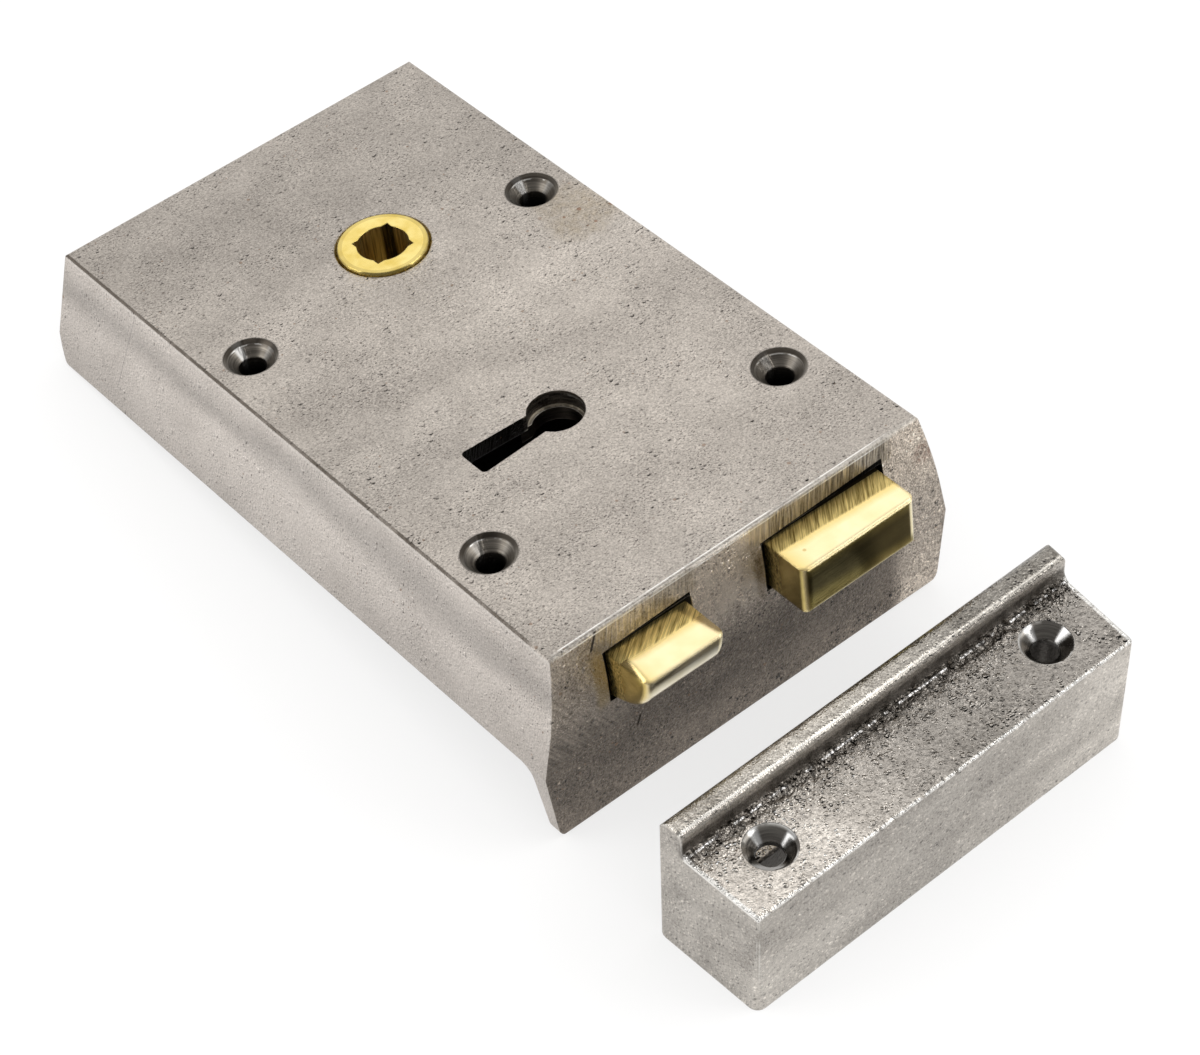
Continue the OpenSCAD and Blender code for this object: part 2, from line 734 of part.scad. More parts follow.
module latch_head() color(brass) {
  edge_steps = 5;
  difference() {
    // Slices whose bevel draws back round a quarter circle towards each side
    hull() for (i = [0 : edge_steps]) let (
        a = 90 * i / edge_steps,
        side = latch_nose_r * (1 - cos(a)),
        inset = latch_nose_r * (1 - sin(a))
      )
      along_y(latch_near + side, latch_near + latch_w - side) latch_side(inset);
    translate([bolt_back - 1, latch_y - latch_let_half - seat_gap, latch_tail_z - seat_gap])
      cube([bolt_let_in - bolt_back + 1 + seat_gap, 2 * (latch_let_half + seat_gap), latch_tail_t + 1]);
    for (p = latch_rivets()) post(p, rivet_d + 2 * seat_gap, latch_z - 1, latch_top + 1);
  }
}

module latch_tail() color(steel) {
  head_low = latch_y - latch_let_half;
  head_high = latch_y + latch_let_half;
  plan = [
    [spring_to, -yoke_half, 1], [arm_foot, strip_low, 3], [bolt_let_in, head_low, 0],
    [bolt_let_in, head_high, 0], [latch_flare, head_high, 2],
    [latch_flare - latch_flare_l, strip_top, 2], [arm_end + arm_slope, strip_top, 3], [arm_end, arm_top, 3],
    [yoke_x, arm_top, 0], [yoke_x, yoke_half, 0.8], [spring_to, yoke_half, 0.8]
  ];
  difference() {
    union() {
      along_z(latch_tail_z, latch_top) polygon(rounded(plan, 4));
      translate([spring_to, -yoke_half, yoke_foot]) cube([yoke_t, 2 * yoke_half, latch_top - yoke_foot]);
    }
    along_z(latch_tail_z - 1, latch_top + 1)
      slot_2d(guide.x, guide.x + latch_travel, guide.y, guide_d + 2 * slide_gap);
    for (p = latch_rivets()) post(p, rivet_d + 2 * seat_gap, latch_tail_z - 1, latch_top + 1);
    translate([spring_to - 1, 0, spring_z]) rotate([0, 90, 0])
      cylinder(d = rod_d + 2 * seat_gap, h = yoke_t + 2);
  }
}

module latch_rivets() color(steel) for (p = latch_rivets()) post(p, rivet_d, latch_z, latch_top);

module latch_spring_rod() color(steel) translate([spring_to - rod_reach, 0, spring_z])
  rotate([0, 90, 0]) cylinder(d = rod_d, h = rod_reach + yoke_t);

// Follower

// Point of the horn's flank that touches the yoke after a turn of a degrees
function flank(a) = let (reach = cam_r * (cam_start + a) * PI / 180)
  [-reach * cos(a) + cam_r * sin(a), reach * sin(a) + cam_r * cos(a)];

module horn() {
  tip = flank(follower_turn + 1);
  polygon(concat(
    [[-hub_r * 0.8, 0], [-hub_r * 0.95, hub_r * 0.6]],
    [for (i = [0 : cam_steps]) flank(-cam_lead + (follower_turn + cam_lead + cam_over) * i / cam_steps)],
    [tip + [horn_w * 0.5, 0.25], tip + [horn_w, -1.1], [horn_w, hub_r * 0.95], [hub_r * 0.7, 0]]
  ));
}

module follower() color(brass) {
  neck_z = case_depth - 0.8;
  collar_z = ceiling - 0.3;
  top = case_depth + follower_proud;
  difference() {
    union() {
      post([0, 0], journal_d, 0.1, plate_t + slide_gap + eps);
      post([0, 0], follower_d, plate_t + slide_gap, top - 0.3);
      translate([0, 0, top - 0.3]) cylinder(d1 = follower_d, d2 = follower_d - 0.6, h = 0.3);
      post([0, 0], follower_d + 2 * (follower_gap - bearing_gap), collar_z, neck_z);
      along_z(horn_z, horn_top) {
        horn();
        mirror([0, 1]) horn();
      }
    }
    post([0, 0], spindle_bore_d, -1, top + 1);
    translate([-spindle_square / 2, -spindle_square / 2, -1])
      cube([spindle_square, spindle_square, top + 2]);
  }
}

// Levers

// Where the stump stands in the lever's own frame after the bolt has run back by d
function stump_seen(d) = let (
    a = -lever_lift * d / dead_travel,
    p = [stump_reach - d, stump_rise]
  )
  [pivot_x + p.x * cos(a) - p.y * sin(a), tail_y + p.x * sin(a) + p.y * cos(a)];

module lever_2d() {
  r = pocket_r;
  p0 = stump_seen(0);
  p1 = stump_seen(dead_travel);
  mid = stump_seen(dead_travel / 2);
  difference() {
    union() {
      translate([pivot_x, tail_y]) circle(r = lever_head_r);
      polygon(rounded([
        [pivot_x, tail_y - lever_head_r, 0], [lever_end - 8, tail_y - lever_half, 0],
        [lever_end, tail_y - lever_half, 2], [lever_end, tail_y + lever_half, 3],
        [pivot_x, tail_y + lever_head_r, 0]
      ]));
    }
    translate([pivot_x, tail_y]) circle(d = pivot_d + 2 * bearing_gap);
    translate([key_x, key_y]) circle(r = belly_r);
    // Pockets for the bolt's two stops, and the gate between them
    polygon(rounded([
      [p0.x - r - 0.2, p0.y - r, 0.5], [p0.x + r + 0.2, p0.y - r, 0.5],
      [p0.x + r + 0.2, p0.y + r + 0.7, 0.5], [p0.x - r - 0.2, p0.y + r + 0.7, 0.5]
    ]));
    polygon(rounded([
      [p1.x - r - 0.2, p1.y - r, 0.5], [p1.x + r + 0.2, p1.y - r, 0.5],
      [p1.x + r + 0.2, p0.y + r, 0.5], [p1.x - r - 0.2, p0.y + r, 0.5]
    ]));
    polygon([
      [p1.x, p1.y - r], [mid.x, mid.y - r], [p0.x, p0.y - r],
      [p0.x, p0.y + r * 0.9], [mid.x, mid.y + r], [p1.x, p1.y + r]
    ]);
    leaf_2d(seat_gap);
  }
}

// Leaf spring, from its seat in the lever to the stop
function leaf_at(t) = (1 - t) * (1 - t) * leaf_root + 2 * t * (1 - t) * leaf_bend + t * t * leaf_end;
function leaf_side(t, s) = let (d = unit(leaf_at(t + 0.01) - leaf_at(t - 0.01)))
  leaf_at(t) + s * [-d.y, d.x];

module leaf_2d(grow = 0) {
  half = leaf_t / 2 + grow;
  steps = 8;
  polygon(concat(
    [for (i = [0 : steps]) leaf_side(i / steps, -half)],
    [for (i = [0 : steps]) leaf_side(1 - i / steps, half)]
  ));
}

module lever_1() color(brass) along_z(lever_top_1 - lever_t, lever_top_1) lever_2d();
module lever_2() color(brass) along_z(lever_top_2 - lever_t, lever_top_2) lever_2d();
module lever_spring_1() color(steel) along_z(lever_top_1 - lever_t, lever_top_1) leaf_2d();
module lever_spring_2() color(steel) along_z(lever_top_2 - lever_t, lever_top_2) leaf_2d();

// Keep, drawn with its lip's foot on X = 0 and its back on z = 0

// Slanting end of the keep, from its foot on X = 0
module keep_end(out, top) rotate([0, 0, atan(keep_taper / keep_width)])
  along_x(-2 * keep_width, 2 * keep_width) polygon(rounded([
    [-out, 0, 0], [2 * keep_length, 0, 0],
    [2 * keep_length, top, 0], [keep_lip_h * tan(keep_draft), top, 1]
  ], 6));

module keep_shape() {
  out = keep_height * tan(keep_draft);
  top = keep_height + keep_lip_h;
  side = [
    [-keep_lip_t - out, 0, 0], [keep_width + out, 0, 0], [keep_width, keep_height, 0.9],
    [0, keep_height, 2], [0, top, 1.3], [-keep_lip_t, top, keep_lip_r]
  ];
  function run_in(x) = keep_taper * x / keep_width;
  lip_x = -keep_lip_t - out;
  low_x = keep_width + out;
  in_x = keep_width - keep_wall;
  csk = (keep_csk_d - keep_hole_d) / 2;
  difference() {
    intersection() {
      along_y(-out - 1, keep_length + out + 1) polygon(rounded(side, 6));
      keep_end(out, top);
      translate([0, keep_length, 0]) mirror([0, 1, 0]) keep_end(out, top);
      along_z(-1, top + 1) polygon(rounded([
        [lip_x, run_in(lip_x) - out, 2], [low_x, run_in(low_x) - out, 2],
        [low_x, keep_length - run_in(low_x) + out, 2], [lip_x, keep_length - run_in(lip_x) + out, 2]
      ]));
    }
    along_z(-1, keep_in_z) polygon(rounded([
      [0, keep_wall, 1.5], [in_x, keep_wall + run_in(in_x), 1.5],
      [in_x, keep_length - keep_wall - run_in(in_x), 1.5], [0, keep_length - keep_wall, 1.5]
    ]));
    for (p = [dead_pocket, latch_pocket])
      translate([-keep_lip_t - out - 1, p[0], pocket_z])
        cube([keep_lip_t + out + 2, p[1], keep_in_z - pocket_z]);
    for (s = [-1, 1]) translate([keep_fix_x, keep_length / 2 + s * keep_fix_spacing / 2, 0]) {
      cylinder(d = keep_hole_d, h = top);
      translate([0, 0, keep_height - csk]) cylinder(d1 = keep_hole_d, d2 = keep_csk_d + 2 * eps, h = csk + eps);
      translate([0, 0, keep_height]) cylinder(d = keep_csk_d, h = top);
    }
  }
}

module keep() color(dark_iron)
  translate([rear_base, near_top, 0]) rotate([0, lean, 0])
    translate([keep_x, keep_y, 0]) rotate([0, 0, keep_turn]) keep_shape();

case();
back_plate();
back_plate_screws();
keyhole_ward_face();
keyhole_ward_back();
lever_pivot();
lever_washer();
lever_spring_stop();
latch_guide_stud();
latch_spring();
deadbolt_head();
deadbolt_tail();
deadbolt_rivets();
deadbolt_stump();
latch_head();
latch_tail();
latch_rivets();
latch_spring_rod();
follower();
lever_1();
lever_2();
lever_spring_1();
lever_spring_2();
keep();
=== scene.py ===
"""Rim box lock and its keep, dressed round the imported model.

Finishes, springs, floor, lights and camera. Places are in millimetres in the lock's frame unless
a comment says otherwise, and every colour is linear red, green and blue.
"""

import math

import bmesh
import bpy
from mathutils import Euler, Matrix, Vector


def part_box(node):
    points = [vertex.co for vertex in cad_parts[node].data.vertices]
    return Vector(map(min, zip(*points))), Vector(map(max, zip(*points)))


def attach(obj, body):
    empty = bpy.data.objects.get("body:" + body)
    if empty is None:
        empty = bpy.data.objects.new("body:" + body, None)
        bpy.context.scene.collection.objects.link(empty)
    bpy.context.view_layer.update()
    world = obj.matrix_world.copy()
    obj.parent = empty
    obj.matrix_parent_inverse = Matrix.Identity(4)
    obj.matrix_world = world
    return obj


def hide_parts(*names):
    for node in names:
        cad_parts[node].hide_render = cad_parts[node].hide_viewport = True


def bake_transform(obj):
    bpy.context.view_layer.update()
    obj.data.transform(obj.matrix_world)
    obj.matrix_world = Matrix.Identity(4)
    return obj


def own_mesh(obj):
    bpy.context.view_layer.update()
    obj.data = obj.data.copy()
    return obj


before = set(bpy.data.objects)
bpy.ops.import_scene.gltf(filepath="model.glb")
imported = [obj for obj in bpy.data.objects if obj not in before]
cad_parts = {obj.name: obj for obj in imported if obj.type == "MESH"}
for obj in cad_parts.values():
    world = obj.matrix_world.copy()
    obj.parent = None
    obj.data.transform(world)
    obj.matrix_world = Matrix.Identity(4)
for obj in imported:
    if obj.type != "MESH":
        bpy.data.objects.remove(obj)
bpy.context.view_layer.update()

MM = 0.001

# How the lock lies: its rear edge on the floor, its lip holding the front up
REAR_BASE_X = -46.6
LEAN = math.radians(6.6858)

# The case and its openings
FOREND_FACE_X = 104.95
SCREW_X = (7.5, 77.8)
SCREW_Y = (-35.6, 29.4)
SINK_RADIUS = 5.06
# How brightly the painted highlights of the rear and the front pair shine, and the share of that
# on the right
SINK_LEVELS = (1.0, 0.3)
SINK_RIGHT = 0.3
KEYHOLE_X = (50.0, 67.0)
KEYHOLE_Y = (-26.0, 2.0)
# Each slot's two ends and its two heights, and the slope by which the painted shade over it widens
# to the far end
DEAD_SLOT = (0.9, 28.3, 10.1, 21.1)
LATCH_SLOT = (-33.9, -15.1, 9.1, 20.3)
DEAD_GAPE = 0.032
LATCH_GAPE = 0.036

# Springs
LATCH_SPRING = {"from": -36.8, "to": -11.8, "z": 15.7, "wire": 1.1, "mean": 7.0, "turns": 8}
LEAF_POINTS = ((43.0, 20.1), (51.0, 22.5), (61.5, 29.4))
LEAF_THICK = 0.5

# Where the keep's own axes stand, and its measures along them
KEEP_TURN = math.radians(1.0)
KEEP_ORIGIN = (133.964, -45.5, -21.166)
KEEP_TOP = 26.4
KEEP_LIP_TOP = 32.1
KEEP_SCREWS = ((7.9, 12.25), (7.9, 75.05))
KEEP_SINK_RADIUS = 4.82
KEEP_HOLLOW_X = (-0.6, 14.4)
KEEP_HOLLOW_Y = (2.6, 84.8)
KEEP_FRONT_EDGE = (16.85, 17.25)
KEEP_NEAR_EDGE = (-0.1, 0.65)
KEEP_FAR_EDGE = (86.65, 87.4)
KEEP_END_SLOPE = -0.0636

# Marks on the case, and places of painted light and shade: centres, and then bands by their two
# ends
# A painted pool of light on the top, and painted shade towards its near side
BRIGHT_MIDDLE = (52.0, -8.0, 25.0)
SHADED_NEAR_SIDE = (46.0, -38.0, 25.0)
WARM_PATCH = (17.5, 32.5, 25.4)
STAINED_CORNER = (105.5, 37.6, 17.6)
NICKED_EDGE = (105.3, -33.2, 25.3)
FILED_OVER_DEAD = (-1.0, 30.5)
FILED_OVER_LATCH = (-35.0, -13.5)
SCUFFED = (-13.0, 0.5)
GLOW_BESIDE_LATCH = (-36.6, -34.0)
RUBBED_BESIDE_DEAD = (-1.4, 0.7)
BRIGHT_OVER_MIDDLE = (-4.5, 3.0)
# Painted dark reflection on the near top edge, painted highlights along the front top edge, and a
# thin dark line there
NEAR_EDGE_REFLECTION = (-44.05, -43.45)
TOP_EDGE_HIGHLIGHT = (103.9, 105.2)
TOP_EDGE_DARK_LINE = (104.0, 104.16)
UPPER_HIGHLIGHT_LINE = (103.58, 103.84)
LOWER_HIGHLIGHT_LINE = (24.6, 24.84)

# Colours; a pair is the dark and the light end of one finish
# Top and sides of the case; the sides are painted lighter than the top, as light
CASE_TOP = ((0.2, 0.178, 0.157), (0.62, 0.563, 0.503))
CASE_SIDE = ((0.35, 0.315, 0.285), (0.72, 0.662, 0.61))
# Forend: a dark finish as painted shade below, and a lighter one as painted light above and at the
# far end
FOREND_LOW = ((0.05, 0.042, 0.034), (0.225, 0.2, 0.172))
FOREND_HIGH = ((0.15, 0.134, 0.114), (0.64, 0.59, 0.525))
FILED_IRON = ((0.06, 0.052, 0.04), (0.72, 0.66, 0.54))
SCORED_IRON = ((0.085, 0.075, 0.062), (0.33, 0.3, 0.262))
SCUFF = (0.62, 0.575, 0.51)
BRASS_GLOW = (0.33, 0.255, 0.11)
OILY_BROWN = (0.15, 0.112, 0.062)
BRIGHT_IRON = (0.76, 0.7, 0.62)
RUST_STAIN = (0.2, 0.105, 0.075)
FOREND_WARMTH = (0.965, 0.92, 0.885)
# Countersinks and keyhole of the case: steel darkened as painted shade, painted highlights, and
# near black in the keyhole as painted shade
CASE_SINK = ((0.125, 0.11, 0.092), (0.3, 0.27, 0.23))
SINK_HIGHLIGHT = (0.62, 0.61, 0.59)
SINK_LIP_SHADE = (0.046, 0.038, 0.03)
SINK_HIGHLIGHT_LINE = (0.8, 0.78, 0.74)
SINK_OUTLINE = (0.1, 0.09, 0.08)
KEYHOLE_ROUND = ((0.022, 0.017, 0.012), (0.15, 0.128, 0.102))
KEYHOLE_LEDGE = (0.56, 0.52, 0.45)
KEYHOLE_SLOT_SHADE = (0.014, 0.011, 0.008)
# Edges, specks and stains of the case, with the painted reflections and highlights along its edges
EDGE_DARK_REFLECTION = (0.125, 0.105, 0.085)
BROW_HIGHLIGHT = (0.8, 0.76, 0.69)
EDGE_HIGHLIGHT_LINE = (1.0, 0.97, 0.92)
FRONT_EDGE_DARK_LINE = (0.16, 0.14, 0.12)
NICK = (0.05, 0.04, 0.035)
SIDE_RIM_HIGHLIGHT = (0.72, 0.68, 0.63)
SCRATCH = (0.2, 0.18, 0.17)
PIT = (0.105, 0.085, 0.068)
RUST = (0.225, 0.13, 0.072)
BLOTCH = (0.87, 0.82, 0.72)
BLOTCH_RUST = (0.25, 0.135, 0.08)
SHADE_AND_CHIP_BLACK = (0.006, 0.005, 0.004)
WORN_EDGE = (0.66, 0.62, 0.56)
# Keep, with painted shade in its cove and countersinks, and painted highlights and glints
KEEP_FACE = ((0.23, 0.207, 0.18), (0.76, 0.705, 0.64))
KEEP_WALL = ((0.25, 0.228, 0.204), (0.6, 0.562, 0.512))
KEEP_LIP = ((0.2, 0.178, 0.15), (0.72, 0.675, 0.605))
COVE_SHADE = (0.062, 0.052, 0.042)
COVE_GLINTS = (0.92, 0.9, 0.88)
LIP_RIDGE_HIGHLIGHT = (0.96, 0.93, 0.88)
BRASS_STREAK = (0.7, 0.62, 0.26)
KEEP_EDGE_WEAR_AND_HIGHLIGHT = (0.95, 0.93, 0.89)
KEEP_WORN_EDGE = (0.84, 0.82, 0.78)
KEEP_PIT = (0.11, 0.09, 0.072)
KEEP_RUST = (0.22, 0.11, 0.06)
KEEP_SINK = ((0.17, 0.155, 0.138), (0.36, 0.335, 0.3))
KEEP_SINK_HIGHLIGHT = (0.86, 0.85, 0.83)
KEEP_HOLLOW = (0.085, 0.078, 0.07)
# Brass; the bolts' end faces, near sides and roots and the follower's rim are painted shade, with
# painted highlights
POLISHED_BRASS = ((0.865, 0.715, 0.4), (0.905, 0.775, 0.475))
GOLD_MARGIN = (0.78, 0.59, 0.225)
FRONT_EDGE_HIGHLIGHT = (0.9, 0.79, 0.5)
BOLT_NEAR_SIDE_SHADE = ((0.34, 0.255, 0.08), (0.5, 0.39, 0.145))
FILED_BRASS = ((0.19, 0.134, 0.036), (0.88, 0.69, 0.27))
BOLT_ROOT_SHADE = (0.02, 0.015, 0.007)
FLECK = (0.48, 0.33, 0.1)
TURNED_BRASS = ((0.64, 0.47, 0.11), (0.78, 0.63, 0.23))
BROACHED_BRASS = ((0.3, 0.215, 0.07), (0.82, 0.64, 0.26))
DEAD_FRONT = ((0.08, 0.064, 0.02), (0.115, 0.094, 0.034))
LATCH_FRONT = ((0.185, 0.162, 0.1), (0.23, 0.21, 0.155))
ROLLED_BRASS = ((0.62, 0.48, 0.2), (0.82, 0.68, 0.34))
FOLLOWER_RIM_SHADE = (0.3, 0.22, 0.06)
# Steel of the wards and the works; the wards are near black, partly as painted shade
WARD_WALL = ((0.018, 0.014, 0.01), (0.072, 0.058, 0.044))
WARD_LEDGE = (0.58, 0.54, 0.47)
GREY_PLATE = ((0.3, 0.3, 0.3), (0.47, 0.47, 0.465))
TURNED_GREY = ((0.36, 0.36, 0.36), (0.56, 0.56, 0.55))
BLUED_SPRING = ((0.14, 0.155, 0.2), (0.27, 0.29, 0.34))
STEEL_SPOT = (0.1, 0.07, 0.05)


# Node building

def feed(tree, socket, value):
    """Links another socket to a socket, or sets its value."""
    if isinstance(value, bpy.types.NodeSocket):
        tree.links.new(value, socket)
    elif value is not None:
        socket.default_value = value


def add_node(tree, kind, settings=None, **inputs):
    """A new node with its settings, and with its inputs fed by name."""
    made = tree.nodes.new(kind)
    for key, value in (settings or {}).items():
        setattr(made, key, value)
    for key, value in inputs.items():
        feed(tree, made.inputs[key.replace("_", " ")], value)
    return made


def add_maths(tree, operation, *values, clamp=False):
    made = add_node(tree, "ShaderNodeMath", {"operation": operation, "use_clamp": clamp})
    for socket, value in zip(made.inputs, values):
        feed(tree, socket, value)
    return made.outputs[0]


# Where a countersink has a painted highlight, in degrees about its middle: from, to, and fading
# over
WEDGE_RIGHT = (72, 98, 5)
WEDGE_LEFT = (168, 200, 6)
# Two directions on the top that the painted highlight and shade follow, at right angles
ACROSS = (0.525, 0.85)
BEYOND = (-0.85, 0.525)


class Finish:
    """A material built from nodes, on the object's own coordinates in metres."""

    def __init__(self, name):
        self.material = bpy.data.materials.new(name)
        self.material.use_nodes = True
        self.tree = self.material.node_tree
        self.tree.nodes.clear()
        self.place = self.tree.nodes.new("ShaderNodeTexCoord").outputs["Object"]

    def put(self, socket, value):
        feed(self.tree, socket, value)

    def node(self, kind, settings=None, **inputs):
        return add_node(self.tree, kind, settings, **inputs)

    def maths(self, operation, *values, clamp=False):
        return add_maths(self.tree, operation, *values, clamp=clamp)

    def step(self, value, low, high, start=0.0, end=1.0):
        made = self.node(
            "ShaderNodeMapRange", {"interpolation_type": "SMOOTHSTEP"}, Value=value,
            From_Min=low, From_Max=high, To_Min=start, To_Max=end)
        return made.outputs["Result"]

    def rise(self, value, low, high, start=0.0, end=1.0):
        """A step between two places in millimetres."""
        return self.step(value, low * MM, high * MM, start, end)

    def between(self, value, low, high, soft):
        rise = self.step(value, low - soft, low + soft)
        fall = self.step(value, high - soft, high + soft, 1.0, 0.0)
        return self.maths("MULTIPLY", rise, fall)

    def band(self, value, low, high, soft):
        """1 between two places, fading over soft to each side, all in millimetres."""
        return self.between(value, low * MM, high * MM, soft * MM)

    def away_from(self, place):
        """Distance from a place that is given in millimetres."""
        made = self.node("ShaderNodeVectorMath", {"operation": "DISTANCE"}, Vector=self.place)
        made.inputs[1].default_value = tuple(c * MM for c in place)
        return made.outputs["Value"]

    def beside(self, value, along, slope, start):
        """How far a value is past a line that leans along another, from a start in millimetres."""
        return self.maths("SUBTRACT", value, self.weighed(along, slope, start * MM))

    def wander(self, base, noise, amount):
        """A length moved to and fro by a noise, over an amount in millimetres."""
        return self.weighed(self.maths("SUBTRACT", noise, 0.5), amount * MM, base)

    def colour(self, factor, a, b, blend="MIX"):
        made = self.node("ShaderNodeMix", {"data_type": "RGBA", "blend_type": blend})
        self.put(made.inputs[0], factor)
        self.put(made.inputs[6], a if isinstance(a, bpy.types.NodeSocket) else (*a, 1.0))
        self.put(made.inputs[7], b if isinstance(b, bpy.types.NodeSocket) else (*b, 1.0))
        return made.outputs[2]

    def blend(self, factor, a, b):
        made = self.node("ShaderNodeMix", {"data_type": "FLOAT"})
        for socket, value in zip((made.inputs[0], made.inputs[2], made.inputs[3]), (factor, a, b)):
            self.put(socket, value)
        return made.outputs[0]

    def turned(self, location=(0, 0, 0), rotation=(0, 0, 0), scale=(1, 1, 1), kind="POINT",
               vector=None):
        made = self.node("ShaderNodeMapping", {"vector_type": kind}, Vector=vector or self.place)
        made.inputs["Location"].default_value = location
        made.inputs["Rotation"].default_value = rotation
        made.inputs["Scale"].default_value = scale
        return made.outputs["Vector"]

    def strokes(self, size, turn, length, across=1.0, axis=2, detail=3.0, rough=0.62):
        """Noise drawn out along one axis that is first turned, both in the object's frame."""
        scale = [1.0, 1.0, 1.0]
        scale[0 if axis == 2 else 2] = length
        scale[2 if axis == 2 else 0] = across
        rotation = [0.0, 0.0, 0.0]
        rotation[axis] = turn
        return self.noise(
            size, detail, rough, 0.0, self.turned((0, 0, 0), rotation, scale, "TEXTURE"))

    def noise(self, size, detail=2.0, rough=0.5, distortion=0.0, vector=None, stretch=None):
        """Noise whose lumps are about size millimetres across, and drawn out by a stretch."""
        if stretch:
            vector = self.turned(scale=stretch, vector=vector)
        made = self.node(
            "ShaderNodeTexNoise", None, Vector=vector or self.place, Scale=1.0 / (size * MM),
            Detail=detail, Roughness=rough, Distortion=distortion)
        return made.outputs["Fac"]

    def spread(self, value, low=0.3, high=0.7, start=0.0, end=1.0):
        """Stretches the narrow middle of a noise over the whole range."""
        made = self.node(
            "ShaderNodeMapRange", {"interpolation_type": "LINEAR", "clamp": True}, Value=value,
            From_Min=low, From_Max=high, To_Min=start, To_Max=end)
        return made.outputs["Result"]

    def scaled(self, colour, factor):
        """A colour times a number."""
        made = self.node("ShaderNodeVectorMath", {"operation": "SCALE"})
        self.put(made.inputs[0], colour)
        self.put(made.inputs["Scale"], factor)
        return made.outputs["Vector"]

    def weighed(self, value, weight, base):
        """A value times a weight, on top of a base."""
        return self.maths("MULTIPLY_ADD", value, weight, base)

    def lifted(self, colour, mask, gain):
        """A colour brighter by gain where the mask is 1, or darker where gain is negative."""
        return self.scaled(colour, self.weighed(mask, gain, 1.0))

    def coat(self, under, over, share, *masks):
        """One colour laid over another in a share, where all the masks are 1."""
        return self.colour(self.all_of(*masks, share), under, over)

    def without(self, mask):
        """1 where a mask is 0."""
        return self.maths("SUBTRACT", 1.0, mask)

    def all_of(self, *masks):
        total = masks[0]
        for mask in masks[1:]:
            total = self.maths("MULTIPLY", total, mask)
        return total

    def any_of(self, *masks):
        total = masks[0]
        for mask in masks[1:]:
            total = self.maths("MAXIMUM", total, mask)
        return total

    def cone(self, x, y, centre, radius, right_share=1.0):
        """Masks of a countersink: whole, painted highlight wedges and line, flank and lip shade,
        outline.
        """
        dx = self.maths("SUBTRACT", x, centre[0] * MM)
        dy = self.maths("SUBTRACT", y, centre[1] * MM)
        away = self.maths("SQRT", self.maths("ADD", self.all_of(dx, dx), self.all_of(dy, dy)))
        mask = self.rise(away, radius - 0.06, radius + 0.06, 1.0, 0.0)
        angle = self.maths("ARCTAN2", dy, dx)
        right = self.between(angle, *[math.radians(a) for a in WEDGE_RIGHT])
        left = self.between(
            self.maths("ABSOLUTE", angle), *[math.radians(a) for a in WEDGE_LEFT])
        across, beyond = [
            self.maths("DIVIDE", self.weighed(dx, part_x, self.all_of(dy, part_y)), away)
            for part_x, part_y in (ACROSS, BEYOND)]
        flanks = self.step(self.maths("ABSOLUTE", across), 0.45, 0.92)
        painted_line = self.all_of(
            self.band(away, radius - 0.86, radius - 0.74, soft=0.07), self.step(beyond, 0.45, 0.8))
        lip = self.all_of(
            self.rise(away, radius - 0.74, radius - 0.6), self.step(beyond, -0.3, 0.4))
        outline = self.band(away, radius - 0.05, radius + 0.16, soft=0.08)
        highlight_wedges = self.any_of(self.maths("MULTIPLY", right, right_share), left)
        return mask, highlight_wedges, flanks, painted_line, lip, outline

    def cells(self, spacing, share, vector):
        """Cells of a width: how far their middles are, which share is chosen, a random size."""
        made = self.node(
            "ShaderNodeTexVoronoi", None, Vector=vector or self.place, Scale=1.0 / (spacing * MM))
        split = self.node("ShaderNodeSeparateColor", None, Color=made.outputs["Color"])
        chosen = self.maths("GREATER_THAN", split.outputs["Red"], 1.0 - share)
        return made.outputs["Distance"], chosen, split.outputs["Green"]

    def dots(self, spacing, radius, share, vector=None):
        """Round specks of a radius in millimetres, in a share of cells that are spacing across."""
        away, chosen, size = self.cells(spacing, share, vector)
        edge = self.maths("SUBTRACT", self.maths("MULTIPLY", size, radius / spacing), away)
        return self.maths("MULTIPLY", self.step(edge, 0.0, 0.25 * radius / spacing), chosen)

    def pebbles(self, spacing, share, vector=None):
        """Low round bumps, one to each chosen cell."""
        away, chosen, size = self.cells(spacing, share, vector)
        reach = self.weighed(size, 0.22, 0.26)
        dome = self.step(away, self.maths("MULTIPLY", reach, 0.35), reach, 1.0, 0.0)
        return self.maths("MULTIPLY", dome, chosen)

    def sand(self, vector, fine, coarse, ground):
        """Height of a sand casting's skin: fine and coarse pebbles on a noise."""
        spacing, share, level = fine
        low = self.maths("MULTIPLY", self.pebbles(spacing, share, vector), level)
        high = self.weighed(self.pebbles(*coarse, vector), 0.9, low)
        size, rough = ground
        return self.weighed(self.noise(size, rough=rough, vector=vector), 1.1, high)

    def relief(self, toward, reach, *skin):
        """The skin's height and how much its slopes face one way, about zero, for painted light.
        """
        here = self.sand(None, *skin)
        way = Vector(toward).normalized() * reach * MM
        there = self.sand(self.turned(location=tuple(way)), *skin)
        return here, self.maths("SUBTRACT", here, there)

    def axes(self, vector=None):
        return self.node("ShaderNodeSeparateXYZ", None, Vector=vector or self.place).outputs

    def facing(self):
        return self.node("ShaderNodeNewGeometry").outputs["True Normal"]

    def bump(self, height, distance, strength, normal):
        """Relief of a height in millimetres on a rounded normal."""
        made = self.node(
            "ShaderNodeBump", None, Strength=strength, Distance=distance * MM, Height=height,
            Normal=normal)
        return made.outputs["Normal"]

    def softened(self, radius):
        return self.node("ShaderNodeBevel", {"samples": 4}, Radius=radius * MM).outputs["Normal"]

    def edge(self, normal):
        """1 on edges, where the rounded normal leaves the flat one."""
        dot = self.node("ShaderNodeVectorMath", {"operation": "DOT_PRODUCT"})
        self.put(dot.inputs[0], normal)
        self.put(dot.inputs[1], self.facing())
        return self.step(self.without(dot.outputs["Value"]), 0.02, 0.18)

